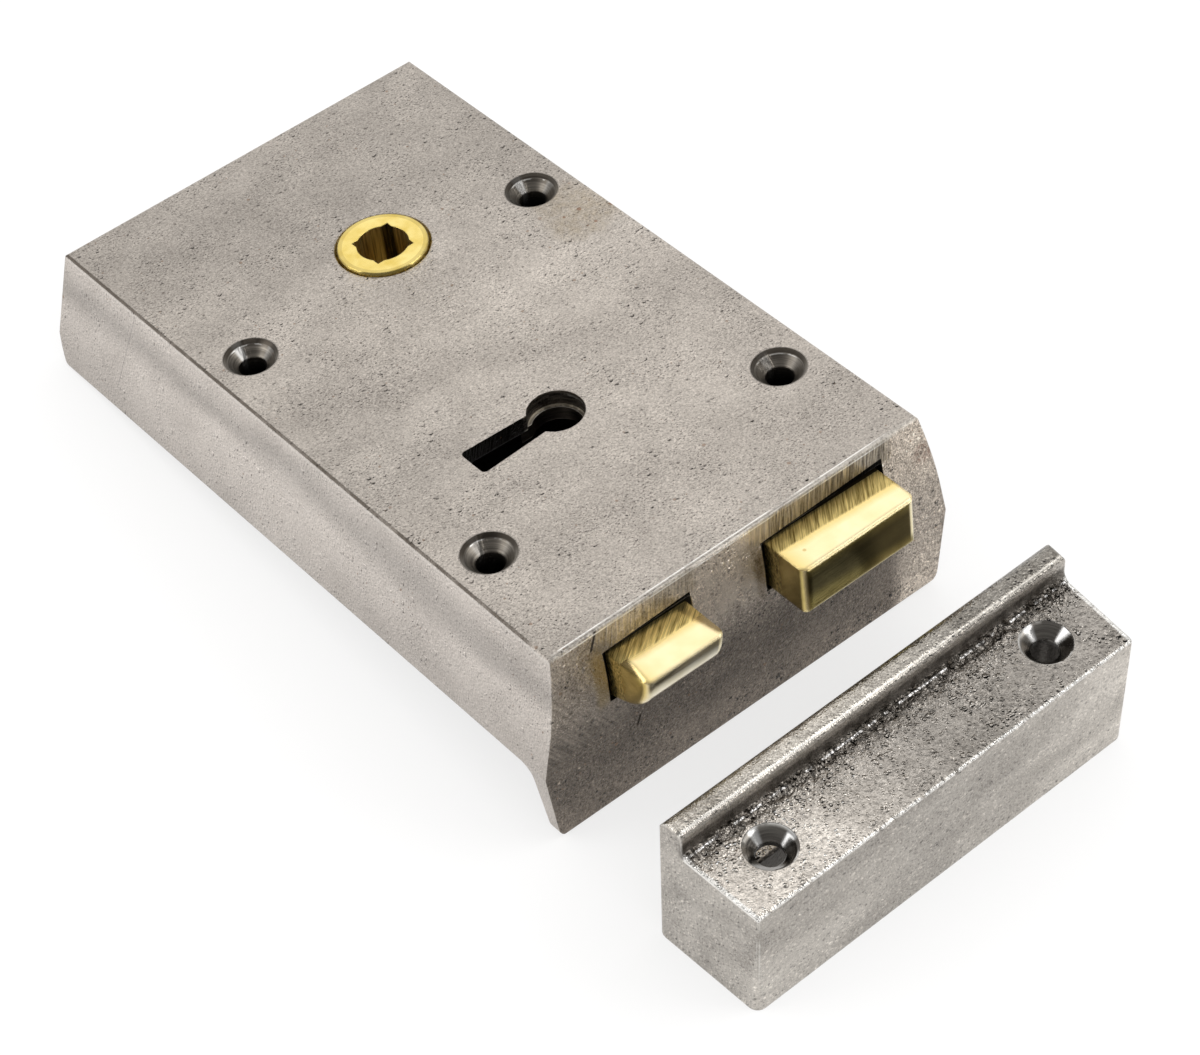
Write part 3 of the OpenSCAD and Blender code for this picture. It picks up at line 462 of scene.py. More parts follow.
    def sum(self, *terms):
        """Sum of (socket, weight) pairs, each centred on one half."""
        total = 0.5
        for socket, weight in terms:
            total = self.weighed(self.maths("SUBTRACT", socket, 0.5), weight, total)
        return total

    def metal(self, colour, roughness, normal):
        """Ends the material as bare metal, and returns it."""
        shader = self.node(
            "ShaderNodeBsdfPrincipled", Base_Color=colour, Roughness=roughness, Metallic=1.0,
            Normal=normal)
        self.node("ShaderNodeOutputMaterial", Surface=shader.outputs["BSDF"])
        return self.material


def cast_iron():
    """Ground and waxed grey iron of the case."""
    f = Finish("cast_iron_case")
    nx, ny, nz = f.axes(f.facing())
    x, y, z = f.axes()
    front = f.step(nx, 0.55, 0.85)
    side = f.step(f.maths("ABSOLUTE", ny), 0.8, 0.95)

    # Broad clouds, fine grain and the low pimples of the sand, with painted light on their lit
    # sides
    diagonal = f.turned(rotation=(0, 0, math.radians(38)), scale=(1.0, 0.5, 1.0))
    drift = f.spread(f.noise(24, rough=0.45, distortion=0.6, vector=diagonal))
    cloud = f.spread(f.noise(8, detail=3.0, rough=0.55))
    grain = f.spread(f.noise(0.85, rough=0.55, distortion=0.3))
    grit = f.spread(f.noise(0.34, detail=1.0))

    rough_patch = f.spread(f.noise(9), 0.4, 0.6, 0.65, 1.5)
    pimples, painted_slope_light = f.relief((-0.8, 0.1, 0.45), 0.13, (0.62, 0.5, 0.5), (1.35, 0.16), (0.45, 0.6))
    painted_slope_light = f.all_of(painted_slope_light, rough_patch)
    tone = f.sum((drift, 0.22), (cloud, 0.16), (grain, 0.13), (grit, 0.36))
    calm = f.step(nx, -0.85, -0.6, 0.45, 1.0)
    skin = f.colour(tone, *CASE_TOP)
    # Painted light as a broad pool in the middle of the top, and painted shade towards its near
    # side
    out = f.away_from(BRIGHT_MIDDLE)
    skin = f.scaled(skin, f.rise(out, 24.0, 84.0, 1.25, 1.0))
    shaded = f.away_from(SHADED_NEAR_SIDE)
    skin = f.scaled(skin, f.rise(shaded, 6.0, 32.0, 0.84, 1.0))
    # Sides: lighter upwards as painted light, with a wandering band of painted dark reflection
    # across the middle
    sway = f.noise(
        15, detail=1.0, rough=0.4, distortion=0.4,
        vector=f.turned(rotation=(0, math.radians(-14), 0), scale=(0.3, 1.0, 1.0)))
    sides = f.scaled(f.colour(tone, *CASE_SIDE), f.rise(z, -2.0, 15.0, 0.88, 1.07))
    middle = f.wander(18.8 * MM, sway, 10.0)
    sides = f.lifted(sides, f.band(f.maths("SUBTRACT", z, middle), -3.0, 3.0, soft=3.2), -0.26)
    skin = f.colour(side, skin, sides)
    # Painted light on the pimples' lit sides, stronger on the case's sides
    skin = f.lifted(skin, f.all_of(f.maths("MINIMUM", painted_slope_light, 0.13), calm), f.blend(side, 1.5, 0.95))

    # Forend: painted shade below, painted light to the top and the far end, filed above the two
    # bolts
    upper = f.rise(z, 1.0, 16.0)
    far = f.rise(y, 28.5, 35.5)
    lift = f.any_of(f.all_of(upper, 1.25), f.all_of(far, 1.35))
    speckled = f.sum((cloud, 0.30), (grain, 0.40), (grit, 0.55))
    dull = f.colour(speckled, *FOREND_LOW)
    pale = f.colour(speckled, *FOREND_HIGH)
    # Painted light on the lit sides of the grain and towards the top, and lighter again near the
    # bottom edge
    iron_front = f.scaled(
        f.colour(lift, dull, pale), f.weighed(painted_slope_light, 1.9, f.rise(z, 8.0, 20.0, 1.0, 1.5)))
    iron_front = f.scaled(iron_front, f.rise(z, -15.0, -5.0, 1.32, 1.0))
    scuffs = f.all_of(
        f.band(y, *SCUFFED, soft=2.0), f.rise(z, 8.0, 13.0),
        f.spread(
            f.noise(
                2.2, detail=3.0, rough=0.6,
                vector=f.turned(rotation=(math.radians(35), 0, 0), scale=(1.0, 1.0, 0.4))),
            0.42, 0.58))
    iron_front = f.coat(iron_front, SCUFF, 0.75, scuffs)
    file_lines = f.spread(f.strokes(0.40, math.radians(-15), 20.0, 3.0, axis=0), 0.34, 0.66)
    above_dead = f.all_of(f.band(y, *FILED_OVER_DEAD, soft=1.6), f.rise(z, 20.6, 21.4))
    above_latch = f.all_of(f.band(y, *FILED_OVER_LATCH, soft=1.2), f.rise(z, 20.2, 21.0))
    filed = f.all_of(f.any_of(above_dead, f.all_of(above_latch, 0.6)), front)
    iron_front = f.coat(iron_front, f.colour(file_lines, *FILED_IRON), 0.85, filed)
    slanted = f.spread(
        f.strokes(0.5, math.radians(33), 16.0, 3.0, axis=0, detail=2.0, rough=0.6), 0.36, 0.64)
    scored = f.all_of(f.rise(y, -35.0, -30.0, 1.0, 0.0), f.rise(z, -1.0, 5.0))
    iron_front = f.coat(iron_front, f.colour(slanted, *SCORED_IRON), 0.42, scored)
    glow = f.all_of(f.band(y, *GLOW_BESIDE_LATCH, soft=0.7), f.band(z, 9.0, 21.0, soft=1.5))
    iron_front = f.coat(iron_front, BRASS_GLOW, 0.55, glow)
    rubbed = f.all_of(f.band(y, *RUBBED_BESIDE_DEAD, soft=0.7), f.band(z, 9.5, 20.0, soft=2.0))
    iron_front = f.coat(iron_front, OILY_BROWN, 0.5, rubbed)
    bright = f.all_of(f.band(y, *BRIGHT_OVER_MIDDLE, soft=1.6), f.rise(z, 21.5, 23.5))
    iron_front = f.coat(iron_front, BRIGHT_IRON, 0.5, bright)
    corner = f.away_from(STAINED_CORNER)
    stain = f.all_of(
        f.rise(corner, 1.2, 3.2, 1.0, 0.0),
        f.spread(f.noise(1.1, detail=3.0, rough=0.6), 0.4, 0.58))
    iron_front = f.coat(iron_front, RUST_STAIN, 0.6, stain)
    iron_front = f.colour(1.0, iron_front, FOREND_WARMTH, "MULTIPLY")
    skin = f.colour(front, skin, iron_front)

    # Painted shade inside the slots, widening over each bolt to the far end; a chip stands at the
    # top edge and a slash below the latch
    slot_shade_and_chips = 0.0
    for (y0, y1, z0, z1), gape in ((DEAD_SLOT, DEAD_GAPE), (LATCH_SLOT, LATCH_GAPE)):
        hole = f.all_of(
            f.band(y, y0 - 0.16, y1 + 0.16, soft=0.05), f.rise(z, z0 - 0.2, z0 - 0.1),
            f.rise(x, 96.0, 97.0))
        over = f.beside(z, f.maths("SUBTRACT", y, y0 * MM), gape, z1 + 0.06)
        hole = f.all_of(hole, f.rise(over, -0.05, 0.05, 1.0, 0.0))
        slot_shade_and_chips = f.any_of(slot_shade_and_chips, hole)
    chip_line = f.beside(y, z, 0.55, -48.1)
    chip = f.all_of(f.band(chip_line, -0.28, 0.28, soft=0.14), f.rise(z, 21.6, 22.2), front)
    slash_line = f.beside(y, z, 0.35, -28.3)
    slash = f.all_of(
        f.band(slash_line, -0.22, 0.22, soft=0.1), f.band(z, -1.6, 0.8, soft=0.3), front)
    slot_shade_and_chips = f.any_of(slot_shade_and_chips, f.all_of(chip, 0.8), f.all_of(slash, 0.7))

    # Countersinks turned in the casting: steel darkened as painted shade and darker down the hole,
    # with painted highlights and shaded flanks and lip
    sunk = highlight_wedge = flank = highlight_crest = lip = ring = 0.0
    for sx, strength in zip(SCREW_X, SINK_LEVELS):
        for sy in SCREW_Y:
            mask, bright, flanks, painted_line, shaded_lip, outline = f.cone(
                x, y, (sx, sy), SINK_RADIUS, SINK_RIGHT)
            sunk = f.any_of(sunk, mask)
            highlight_wedge = f.any_of(highlight_wedge, f.all_of(mask, bright, strength))
            flank = f.any_of(flank, f.all_of(mask, flanks))
            highlight_crest = f.any_of(highlight_crest, painted_line)
            lip = f.any_of(lip, f.all_of(mask, shaded_lip))
            ring = f.any_of(ring, outline)
    cut = f.all_of(sunk, f.step(nz, 0.97, 0.995, 1.0, 0.0))
    rings = f.spread(f.noise(0.22, detail=1.0, stretch=(0.02, 0.02, 1.0)))
    steel = f.colour(rings, *CASE_SINK)
    steel = f.coat(steel, SINK_HIGHLIGHT, 0.75, highlight_wedge)
    depth_shade = f.rise(z, 19.6, 22.6, 0.1, 1.0)
    steel = f.lifted(steel, flank, -0.4)
    steel = f.coat(steel, SINK_LIP_SHADE, 0.85, lip)
    steel = f.coat(steel, SINK_HIGHLIGHT_LINE, 0.9, highlight_crest, f.spread(f.noise(1.6, detail=1.0), 0.42, 0.55))
    skin = f.colour(cut, skin, f.scaled(steel, depth_shade))
    skin = f.coat(skin, SINK_OUTLINE, 0.5, f.maths("SUBTRACT", ring, cut, clamp=True))

    # Walls of the keyhole: brown and scored where it is round, darker below its mouth and near
    # black along the slot as painted shade
    inner = f.all_of(
        f.step(f.maths("ABSOLUTE", nz), 0.2, 0.5, 1.0, 0.0), f.band(x, *KEYHOLE_X, soft=0.3),
        f.band(y, *KEYHOLE_Y, soft=0.3))
    scored_round = f.spread(f.noise(0.5, rough=0.6, stretch=(0.15, 0.15, 1.0)), 0.35, 0.65)
    round_wall = f.scaled(f.colour(scored_round, *KEYHOLE_ROUND), f.rise(z, 24.9, 25.3, 1.0, 1.8))
    round_wall = f.colour(f.band(z, 21.9, 22.3, soft=0.08), round_wall, KEYHOLE_LEDGE)
    inner_skin = f.colour(f.rise(y, -11.2, -10.2, 1.0, 0.0), round_wall, KEYHOLE_SLOT_SHADE)
    skin = f.colour(inner, skin, inner_skin)

    # Top edges: painted dark reflection, painted highlight on the brow, broken painted highlight
    # lines, a thin dark line, a nick and a painted highlight on the side rim; side: one scratch
    edge_run = f.spread(f.noise(6, stretch=(1.0, 0.1, 0.1)), 0.25, 0.55)
    painted_line = f.all_of(
        f.band(y, *NEAR_EDGE_REFLECTION, soft=0.12), f.rise(z, 24.9, 25.1),
        f.rise(x, 97.0, 101.0, 1.0, 0.0), f.weighed(edge_run, 0.45, 0.5))
    skin = f.colour(painted_line, skin, EDGE_DARK_REFLECTION)
    brow_highlight = f.all_of(
        f.band(x, *TOP_EDGE_HIGHLIGHT, soft=0.25), f.rise(z, 24.6, 24.9), f.spread(grain, 0.0, 0.6))
    skin = f.coat(skin, BROW_HIGHLIGHT, 0.45, brow_highlight)
    upper_highlight = f.all_of(f.band(x, *UPPER_HIGHLIGHT_LINE, soft=0.07), f.rise(z, 25.1, 25.2))
    lower_highlight = f.all_of(f.band(z, *LOWER_HIGHLIGHT_LINE, soft=0.07), f.rise(x, 103.9, 104.1))
    highlight_lines = f.all_of(
        f.any_of(upper_highlight, lower_highlight), f.rise(y, 24.0, 34.0, 1.0, 0.0),
        f.spread(f.noise(7, stretch=(0.1, 1.0, 0.1)), 0.36, 0.5))
    dark_front_line = f.all_of(
        f.band(x, *TOP_EDGE_DARK_LINE, soft=0.06), f.rise(z, 24.8, 24.9),
        f.rise(y, 10.0, 20.0, 1.0, 0.0))
    skin = f.coat(skin, FRONT_EDGE_DARK_LINE, 0.5, dark_front_line)
    nick = f.away_from(NICKED_EDGE)
    skin = f.colour(f.rise(nick, 0.35, 0.75, 0.85, 0.0), skin, NICK)
    # Painted highlight along the sides just below the top edge
    rim = f.all_of(f.band(z, 24.3, 24.75, soft=0.15), side)
    skin = f.coat(skin, SIDE_RIM_HIGHLIGHT, 0.4, rim)
    scratch_line = f.beside(x, z, 0.357, -26.9)
    scratch = f.all_of(
        f.band(scratch_line, -0.1, 0.1, soft=0.06), f.step(ny, -0.8, -0.6, 1.0, 0.0),
        f.rise(z, 5.0, 6.0))
    skin = f.coat(skin, SCRATCH, 0.5, scratch)

    # Specks, pits and rust, and a warm rusty patch at the far side
    pits = f.dots(4.6, 0.34, 0.30)
    fine_pits = f.dots(1.6, 0.27, 0.30)
    rust = f.all_of(
        f.any_of(f.dots(2.4, 0.44, 0.42), f.dots(1.3, 0.26, 0.4)), f.step(rough_patch, 0.95, 1.25))
    pitted = f.any_of(pits, fine_pits, f.dots(2.3, 0.24, 0.35))
    skin = f.colour(f.all_of(pitted, calm, f.blend(front, 0.55, 0.4)), skin, PIT)
    skin = f.coat(skin, RUST, 0.55, rust)
    blotch = f.away_from(WARM_PATCH)
    warm = f.rise(f.wander(blotch, cloud, 5.0), 5.0, 11.0, 1.0, 0.0)
    skin = f.colour(
        f.all_of(warm, f.spread(f.noise(1.8, detail=3.0, rough=0.6), 0.35, 0.65, 0.35, 1.0), 0.9),
        skin, BLOTCH, "MULTIPLY")
    skin = f.coat(skin, BLOTCH_RUST, 0.75, warm, f.dots(1.7, 0.62, 0.45))
    skin = f.colour(slot_shade_and_chips, skin, SHADE_AND_CHIP_BLACK)

    soft = f.softened(0.5)
    worn = f.all_of(f.edge(soft), f.step(cloud, 0.2, 0.8), f.without(f.any_of(sunk, inner)))
    skin = f.coat(skin, WORN_EDGE, 0.35, worn)
    # Painted highlight lines along the front top edge
    skin = f.coat(skin, EDGE_HIGHLIGHT_LINE, 0.85, highlight_lines)

    rough = f.blend(f.noise(5, detail=3.0), 0.32, 0.46)
    rough = f.blend(front, rough, 0.42)
    rough = f.blend(cut, rough, 0.36)
    rough = f.blend(slot_shade_and_chips, rough, 0.9)
    swell = f.bump(f.noise(17, detail=1.0), 1.1, 0.35, soft)
    raised = f.sum((grit, 0.10), (pimples, 0.55), (pitted, -0.6))
    height = f.blend(cut, raised, 0.5)
    height = f.blend(filed, height, file_lines)
    height = f.maths("SUBTRACT", height, f.all_of(painted_line, 1.2))
    return f.metal(skin, rough, f.bump(height, 0.34, 1.0, swell))


def keep_iron():
    """Rougher waxed casting of the keep, on the keep's own axes."""
    f = Finish("cast_iron_keep")
    turn = (Matrix.Rotation(LEAN, 3, "Y") @ Matrix.Rotation(KEEP_TURN, 3, "Z")).to_euler("XYZ")
    own = f.turned(tuple(c * MM for c in KEEP_ORIGIN), tuple(turn), kind="TEXTURE")
    x, y, z = f.axes(own)
    nz = f.axes(f.facing())[2]
    wall = f.step(nz, 0.3, 0.6, 1.0, 0.0)
    lip = f.all_of(
        f.rise(z, KEEP_LIP_TOP - 3.2, KEEP_LIP_TOP - 2.2), f.step(x, 0.0, 0.6 * MM, 1.0, 0.0))
    cove = f.all_of(
        f.band(x, -0.3, 2.6, soft=0.7), f.band(z, KEEP_TOP - 0.1, KEEP_LIP_TOP - 2.4, soft=0.5))

    drift = f.spread(f.noise(17, distortion=0.5, vector=own))
    cloud = f.spread(f.noise(5, detail=3.0, rough=0.6, vector=own))
    grain = f.spread(f.noise(0.78, rough=0.55, vector=own), 0.32, 0.68)
    grit = f.spread(f.noise(0.32, detail=1.0, vector=own))
    lumps = f.spread(f.noise(2.1, vector=own))
    pebbled, painted_slope_light = f.relief((-0.75, 0.2, 0.45), 0.15, (0.8, 0.75, 0.6), (1.45, 0.5), (0.9, 0.55))
    tone = f.sum((drift, 0.30), (cloud, 0.25), (grain, 0.22), (grit, 0.22))
    patch = f.spread(f.noise(13, vector=own), 0.5, 0.62)
    relief = f.any_of(f.rise(x, 3.0, 8.5, 1.0, 0.38), patch)
    skin = f.colour(tone, *KEEP_FACE)
    # Painted light: the recess brighter at its near end and darker to the far end, and on the
    # pebbles' lit slopes
    skin = f.scaled(skin, f.rise(y, 8.0, 52.0, 1.5, 0.72))
    skin = f.lifted(skin, f.all_of(painted_slope_light, relief), 3.6)
    strip = f.spread(f.noise(11, distortion=0.6, stretch=(1.0, 0.35, 1.0), vector=own))
    # Painted light on the walls, on lit slopes and brighter to the far end
    painted_wall_light = f.weighed(painted_slope_light, 1.0, f.rise(y, 40.0, 85.0, 1.04, 1.22))
    satin = f.colour(f.sum((strip, 0.55), (cloud, 0.16), (grain, 0.16), (grit, 0.45)), *KEEP_WALL)
    skin = f.colour(wall, skin, f.scaled(satin, painted_wall_light))
    lip_skin = f.colour(f.sum((drift, 0.4), (cloud, 0.3), (grit, 0.6)), *KEEP_LIP)
    # Painted light on the lip's slopes, and painted shade towards its far end
    lip_skin = f.scaled(lip_skin, f.weighed(painted_slope_light, 1.2, f.rise(y, 30.0, 72.0, 1.15, 0.55)))
    skin = f.colour(f.all_of(lip, f.without(wall)), skin, lip_skin)
    # Painted shade in the cove at the lip's foot
    skin = f.colour(f.all_of(cove, f.spread(lumps, 0.15, 0.85, 0.55, 1.0)), skin, COVE_SHADE)

    # Brass rubbed off on the lip, and a painted highlight along its top
    streak = f.all_of(
        f.band(y, 47.0, 62.0, soft=2.0), f.band(x, -4.6, -3.9, soft=0.25), lip,
        f.spread(lumps, 0.3, 0.5))
    skin = f.coat(skin, BRASS_STREAK, 0.8, streak)
    ridge = f.all_of(
        f.band(x, -0.95, -0.45, soft=0.2), f.rise(z, KEEP_LIP_TOP - 1.1, KEEP_LIP_TOP - 0.8))
    skin = f.colour(f.all_of(ridge, f.rise(y, 30.0, 60.0, 0.5, 0.12)), skin, LIP_RIDGE_HIGHLIGHT)

    # Bright nicked edges of the low part, worn and partly a painted highlight, and painted glints
    # in broken dashes at the foot of the lip
    nicks = f.spread(f.noise(2.4, detail=3.0, rough=0.65, vector=own), 0.36, 0.46)
    run = f.maths("MULTIPLY", x, KEEP_END_SLOPE)
    ends = f.any_of(
        f.band(f.maths("ADD", y, run), *KEEP_NEAR_EDGE, soft=0.18),
        f.band(f.maths("SUBTRACT", y, run), *KEEP_FAR_EDGE, soft=0.18))
    edges = f.all_of(
        f.any_of(ends, f.band(x, *KEEP_FRONT_EDGE, soft=0.14)), f.rise(x, 0.2, 0.8),
        f.rise(z, KEEP_TOP - 0.75, KEEP_TOP - 0.45), nicks)
    glint_dashes = f.spread(f.noise(3.2, rough=0.6, stretch=(0.1, 1.0, 0.1), vector=own), 0.46, 0.52)
    foot = f.all_of(
        f.band(x, 0.78, 1.08, soft=0.08), f.band(z, KEEP_TOP, KEEP_TOP + 1.6, soft=0.1), glint_dashes)
    skin = f.colour(foot, skin, COVE_GLINTS)
    skin = f.coat(skin, KEEP_EDGE_WEAR_AND_HIGHLIGHT, 0.9, edges)
    pits = f.dots(3.4, 0.3, 0.3, own)
    rust = f.all_of(f.dots(7, 0.5, 0.25, own), f.step(cloud, 0.4, 0.8))
    skin = f.coat(skin, KEEP_PIT, 0.5, pits)
    skin = f.coat(skin, KEEP_RUST, 0.5, rust)

    # Countersinks: steel darkened as painted shade, with painted highlight wedges and painted
    # shade on their flanks
    sunk = highlight_wedge = flank = 0.0
    for centre in KEEP_SCREWS:
        mask, bright, flanks = f.cone(x, y, centre, KEEP_SINK_RADIUS)[:3]
        sunk = f.any_of(sunk, mask)
        flank = f.any_of(flank, f.all_of(mask, flanks))
        highlight_wedge = f.any_of(highlight_wedge, f.all_of(mask, bright))
    cut = f.all_of(sunk, f.rise(z, KEEP_TOP - 0.1, KEEP_TOP - 0.03, 1.0, 0.0))
    rings = f.spread(f.noise(0.22, detail=1.0, stretch=(0.02, 0.02, 1.0), vector=own))
    steel = f.colour(rings, *KEEP_SINK)
    steel = f.colour(highlight_wedge, steel, KEEP_SINK_HIGHLIGHT)
    steel = f.lifted(steel, flank, -0.5)
    skin = f.colour(cut, skin, steel)

    # The hollow and its pockets are left as cast, dark
    inside = f.all_of(
        f.band(y, *KEEP_HOLLOW_Y, soft=0.2), f.band(x, *KEEP_HOLLOW_X, soft=0.2),
        f.rise(z, KEEP_TOP - 2.8, KEEP_TOP - 2.4, 1.0, 0.0))
    skin = f.coat(skin, KEEP_HOLLOW, 0.8, inside)

    soft = f.softened(0.6)
    worn = f.all_of(f.edge(soft), f.spread(cloud, 0.15, 0.6), f.without(inside))
    skin = f.coat(skin, KEEP_WORN_EDGE, 0.75, worn)

    rough = f.blend(f.noise(3, detail=3.0, vector=own), 0.16, 0.3)
    rough = f.blend(wall, rough, 0.40)
    rough = f.blend(cut, rough, 0.18)
    rough = f.blend(inside, rough, 0.62)
    swell = f.bump(f.noise(9, vector=own), 0.8, 0.35, soft)
    rugged = f.sum((pebbled, 0.9), (grit, 0.16), (lumps, f.weighed(cove, 1.6, 0.5)), (pits, -0.7))
    smooth = f.sum((grain, 0.16), (grit, 0.12), (pits, -0.5))
    height = f.blend(relief, f.sum((pebbled, 0.16), (grit, 0.10), (pits, -0.6)), rugged)
    height = f.blend(f.any_of(wall, f.all_of(lip, 0.85)), height, smooth)
    height = f.blend(f.any_of(cut, ridge), height, 0.5)
    return f.metal(skin, rough, f.bump(height, 0.42, 1.0, swell))


def brass_bolt(name, stroke_turn, band_x, band_slope, near_y, far_y, band_level, side_level,
               front):
    """Polished brass whose root still shows the file next to the forend.

    The filed band ends at band_x, along a line of the given slope, and its strokes are turned by
    stroke_turn. The bolt runs from near_y to far_y. The levels brighten the band and the painted
    shade of the near side, and front is the dark and the light colour of its end face, which is
    painted dark for the shade it reflects.
    """
    f = Finish(name)
    x, y, z = f.axes()
    soft = f.softened(0.9)
    nx, ny, nz = f.axes(soft)
    ragged = f.noise(1.3, detail=3.0, rough=0.6, stretch=(0.1, 1.0, 1.0))
    past = f.beside(x, y, band_slope, band_x)
    past = f.wander(past, ragged, 0.7)
    filed = f.rise(past, -0.4, 0.3, 1.0, 0.0)
    filed = f.all_of(filed, f.step(nx, 0.7, 0.9, 1.0, 0.0))
    strokes = f.spread(f.strokes(0.30, stroke_turn, 20.0, 2.5), 0.33, 0.66)
    lines = f.noise(
        0.22, rough=0.6, vector=f.turned(rotation=(0, 0, math.radians(3)), scale=(1.0, 0.04, 0.6)))
    stain = f.spread(f.noise(4))
    base = f.colour(stain, *POLISHED_BRASS)
    # Painted highlight: the top stays pale in its middle and turns deeper gold towards its margins
    gold = f.any_of(f.rise(past, 0.2, 2.0, 1.0, 0.0), f.rise(y, near_y, near_y + 4.0, 1.0, 0.0))
    base = f.coat(base, GOLD_MARGIN, 0.85, gold, f.step(nz, 0.4, 0.8))
    # End face painted dark as reflected shade, painted lighter low and high, with a painted
    # highlight by the far edge
    low = f.rise(f.weighed(y, 0.1, z), 12.4, 16.2, 4.2, 1.0)
    face = f.scaled(f.colour(stain, *front), f.any_of(low, f.rise(z, 17.8, 19.8, 1.0, 2.0)))
    shine = f.all_of(f.band(y, far_y - 1.5, far_y - 0.6, soft=0.25), f.rise(z, 11.5, 13.5))
    face = f.coat(face, FRONT_EDGE_HIGHLIGHT, 0.85, shine)
    base = f.colour(f.step(nx, 0.68, 0.88), base, face)
    # Painted shade on the near side
    near = f.scaled(f.colour(stain, *BOLT_NEAR_SIDE_SHADE), side_level)
    base = f.colour(f.step(ny, -0.88, -0.68, 1.0, 0.0), base, near)
    base = f.colour(filed, base, f.scaled(f.colour(strokes, *FILED_BRASS), band_level))
    # Painted shade on the root inside the slot
    out = f.beside(x, f.maths("SUBTRACT", y, near_y * MM), 0.030, FOREND_FACE_X)
    root = f.rise(out, -0.12, 0.12, 1.0, 0.0)
    base = f.colour(root, base, BOLT_ROOT_SHADE)
    fleck = f.away_from((111.2, near_y + 3.6, 20.7))
    base = f.colour(f.rise(fleck, 0.22, 0.45, 0.6, 0.0), base, FLECK)

    rough = f.blend(root, f.blend(filed, f.blend(lines, 0.10, 0.20), 0.34), 0.7)
    height = f.blend(filed, lines, strokes)
    return f.metal(base, rough, f.bump(height, 0.02, 0.7, soft))


def brass_turned():
    """Turned brass of the follower, darker where the square is broached, with painted shade in the
    bore and round the rim.
    """
    f = Finish("brass_turned")
    x, y, z = f.axes()
    away = f.node("ShaderNodeVectorMath", {"operation": "LENGTH"})
    f.put(away.inputs[0], f.node("ShaderNodeCombineXYZ", None, X=x, Y=y).outputs[0])
    radius = away.outputs["Value"]
    bore = f.all_of(f.rise(radius, 5.95, 6.05, 1.0, 0.0), f.rise(z, 25.7, 25.88, 1.0, 0.0))
    marks = f.spread(f.noise(0.4, stretch=(1.0, 1.0, 0.05)))
    stain = f.spread(f.noise(3))
    base = f.colour(stain, *TURNED_BRASS)
    # Painted shade on one side of the square bore
    angle = f.maths("ARCTAN2", y, x)
    shade = f.between(angle, math.radians(119), math.radians(148), math.radians(4))
    broached = f.lifted(f.colour(marks, *BROACHED_BRASS), shade, -0.72)
    base = f.colour(bore, base, broached)
    # Painted shade in the gap round the follower's rim
    rim = f.rise(radius, 7.55, 7.72)
    base = f.coat(base, FOLLOWER_RIM_SHADE, 0.35, rim)

    turned = f.node(
        "ShaderNodeTexNoise", {"noise_dimensions": "1D"}, W=radius, Scale=5200.0, Detail=2.0)
    height = f.blend(bore, turned.outputs["Fac"], marks)
    return f.metal(base, f.blend(bore, 0.19, 0.36), f.bump(height, 0.02, 0.4, f.softened(0.3)))


def ward_steel():
    """Blackened steel of the two wards, near black also as painted shade in the keyhole, rubbed
    bright on the ledge that meets the case.
    """
    f = Finish("steel_ward")
    nz = f.axes(f.facing())[2]
    lines = f.spread(f.noise(0.5, detail=3.0, rough=0.6, stretch=(0.2, 0.2, 1.0)))
    base = f.colour(lines, *WARD_WALL)
    ledge = f.all_of(f.step(nz, 0.6, 0.9), f.spread(f.noise(1.5), 0.35, 0.5, 0.35, 1.0))
    return f.metal(
        f.colour(ledge, base, WARD_LEDGE), f.blend(ledge, 0.42, 0.3),
        f.bump(lines, 0.03, 0.6, f.softened(0.25)))


def rolled_metal(name, colours, rough, along=(0.05, 1.0, 1.0)):
    """Oiled steel or sheet brass with its rolling lines along one axis."""
    f = Finish(name)
    lines = f.noise(0.35, detail=3.0, rough=0.6, stretch=along)
    cloud = f.noise(12, detail=3.0, distortion=0.4)
    spots = f.dots(6, 0.4, 0.3)
    base = f.colour(f.sum((cloud, 0.8), (lines, 0.45)), *colours)
    base = f.coat(base, STEEL_SPOT, 0.4, spots)
    height = f.sum((lines, 1.0), (spots, -0.5))
    return f.metal(
        base, f.blend(cloud, rough - 0.06, rough + 0.08),
        f.bump(height, 0.03, 0.6, f.softened(0.25)))


CASE = cast_iron()
KEEP = keep_iron()
DEAD_BRASS = brass_bolt(
    "brass_dead_bolt", math.radians(-36), band_x=108.6, band_slope=0.054, near_y=1.7,
    far_y=27.05, band_level=0.85, side_level=1.36, front=DEAD_FRONT)
LATCH_BRASS = brass_bolt(
    "brass_latch_bolt", math.radians(-54), band_x=110.88, band_slope=0.061, near_y=-33.2,
    far_y=-16.2, band_level=1.15, side_level=1.6, front=LATCH_FRONT)
FOLLOWER_BRASS = brass_turned()
LEVER_BRASS = rolled_metal("brass_rolled", ROLLED_BRASS, 0.30)
PLATE_STEEL = rolled_metal("steel_plate", GREY_PLATE, 0.36)
TURNED_STEEL = rolled_metal("steel_turned", TURNED_GREY, 0.26, (1.0, 1.0, 0.1))
WARD_STEEL = ward_steel()
SPRING_STEEL = rolled_metal("steel_spring", BLUED_SPRING, 0.24, (1.0, 0.3, 0.3))

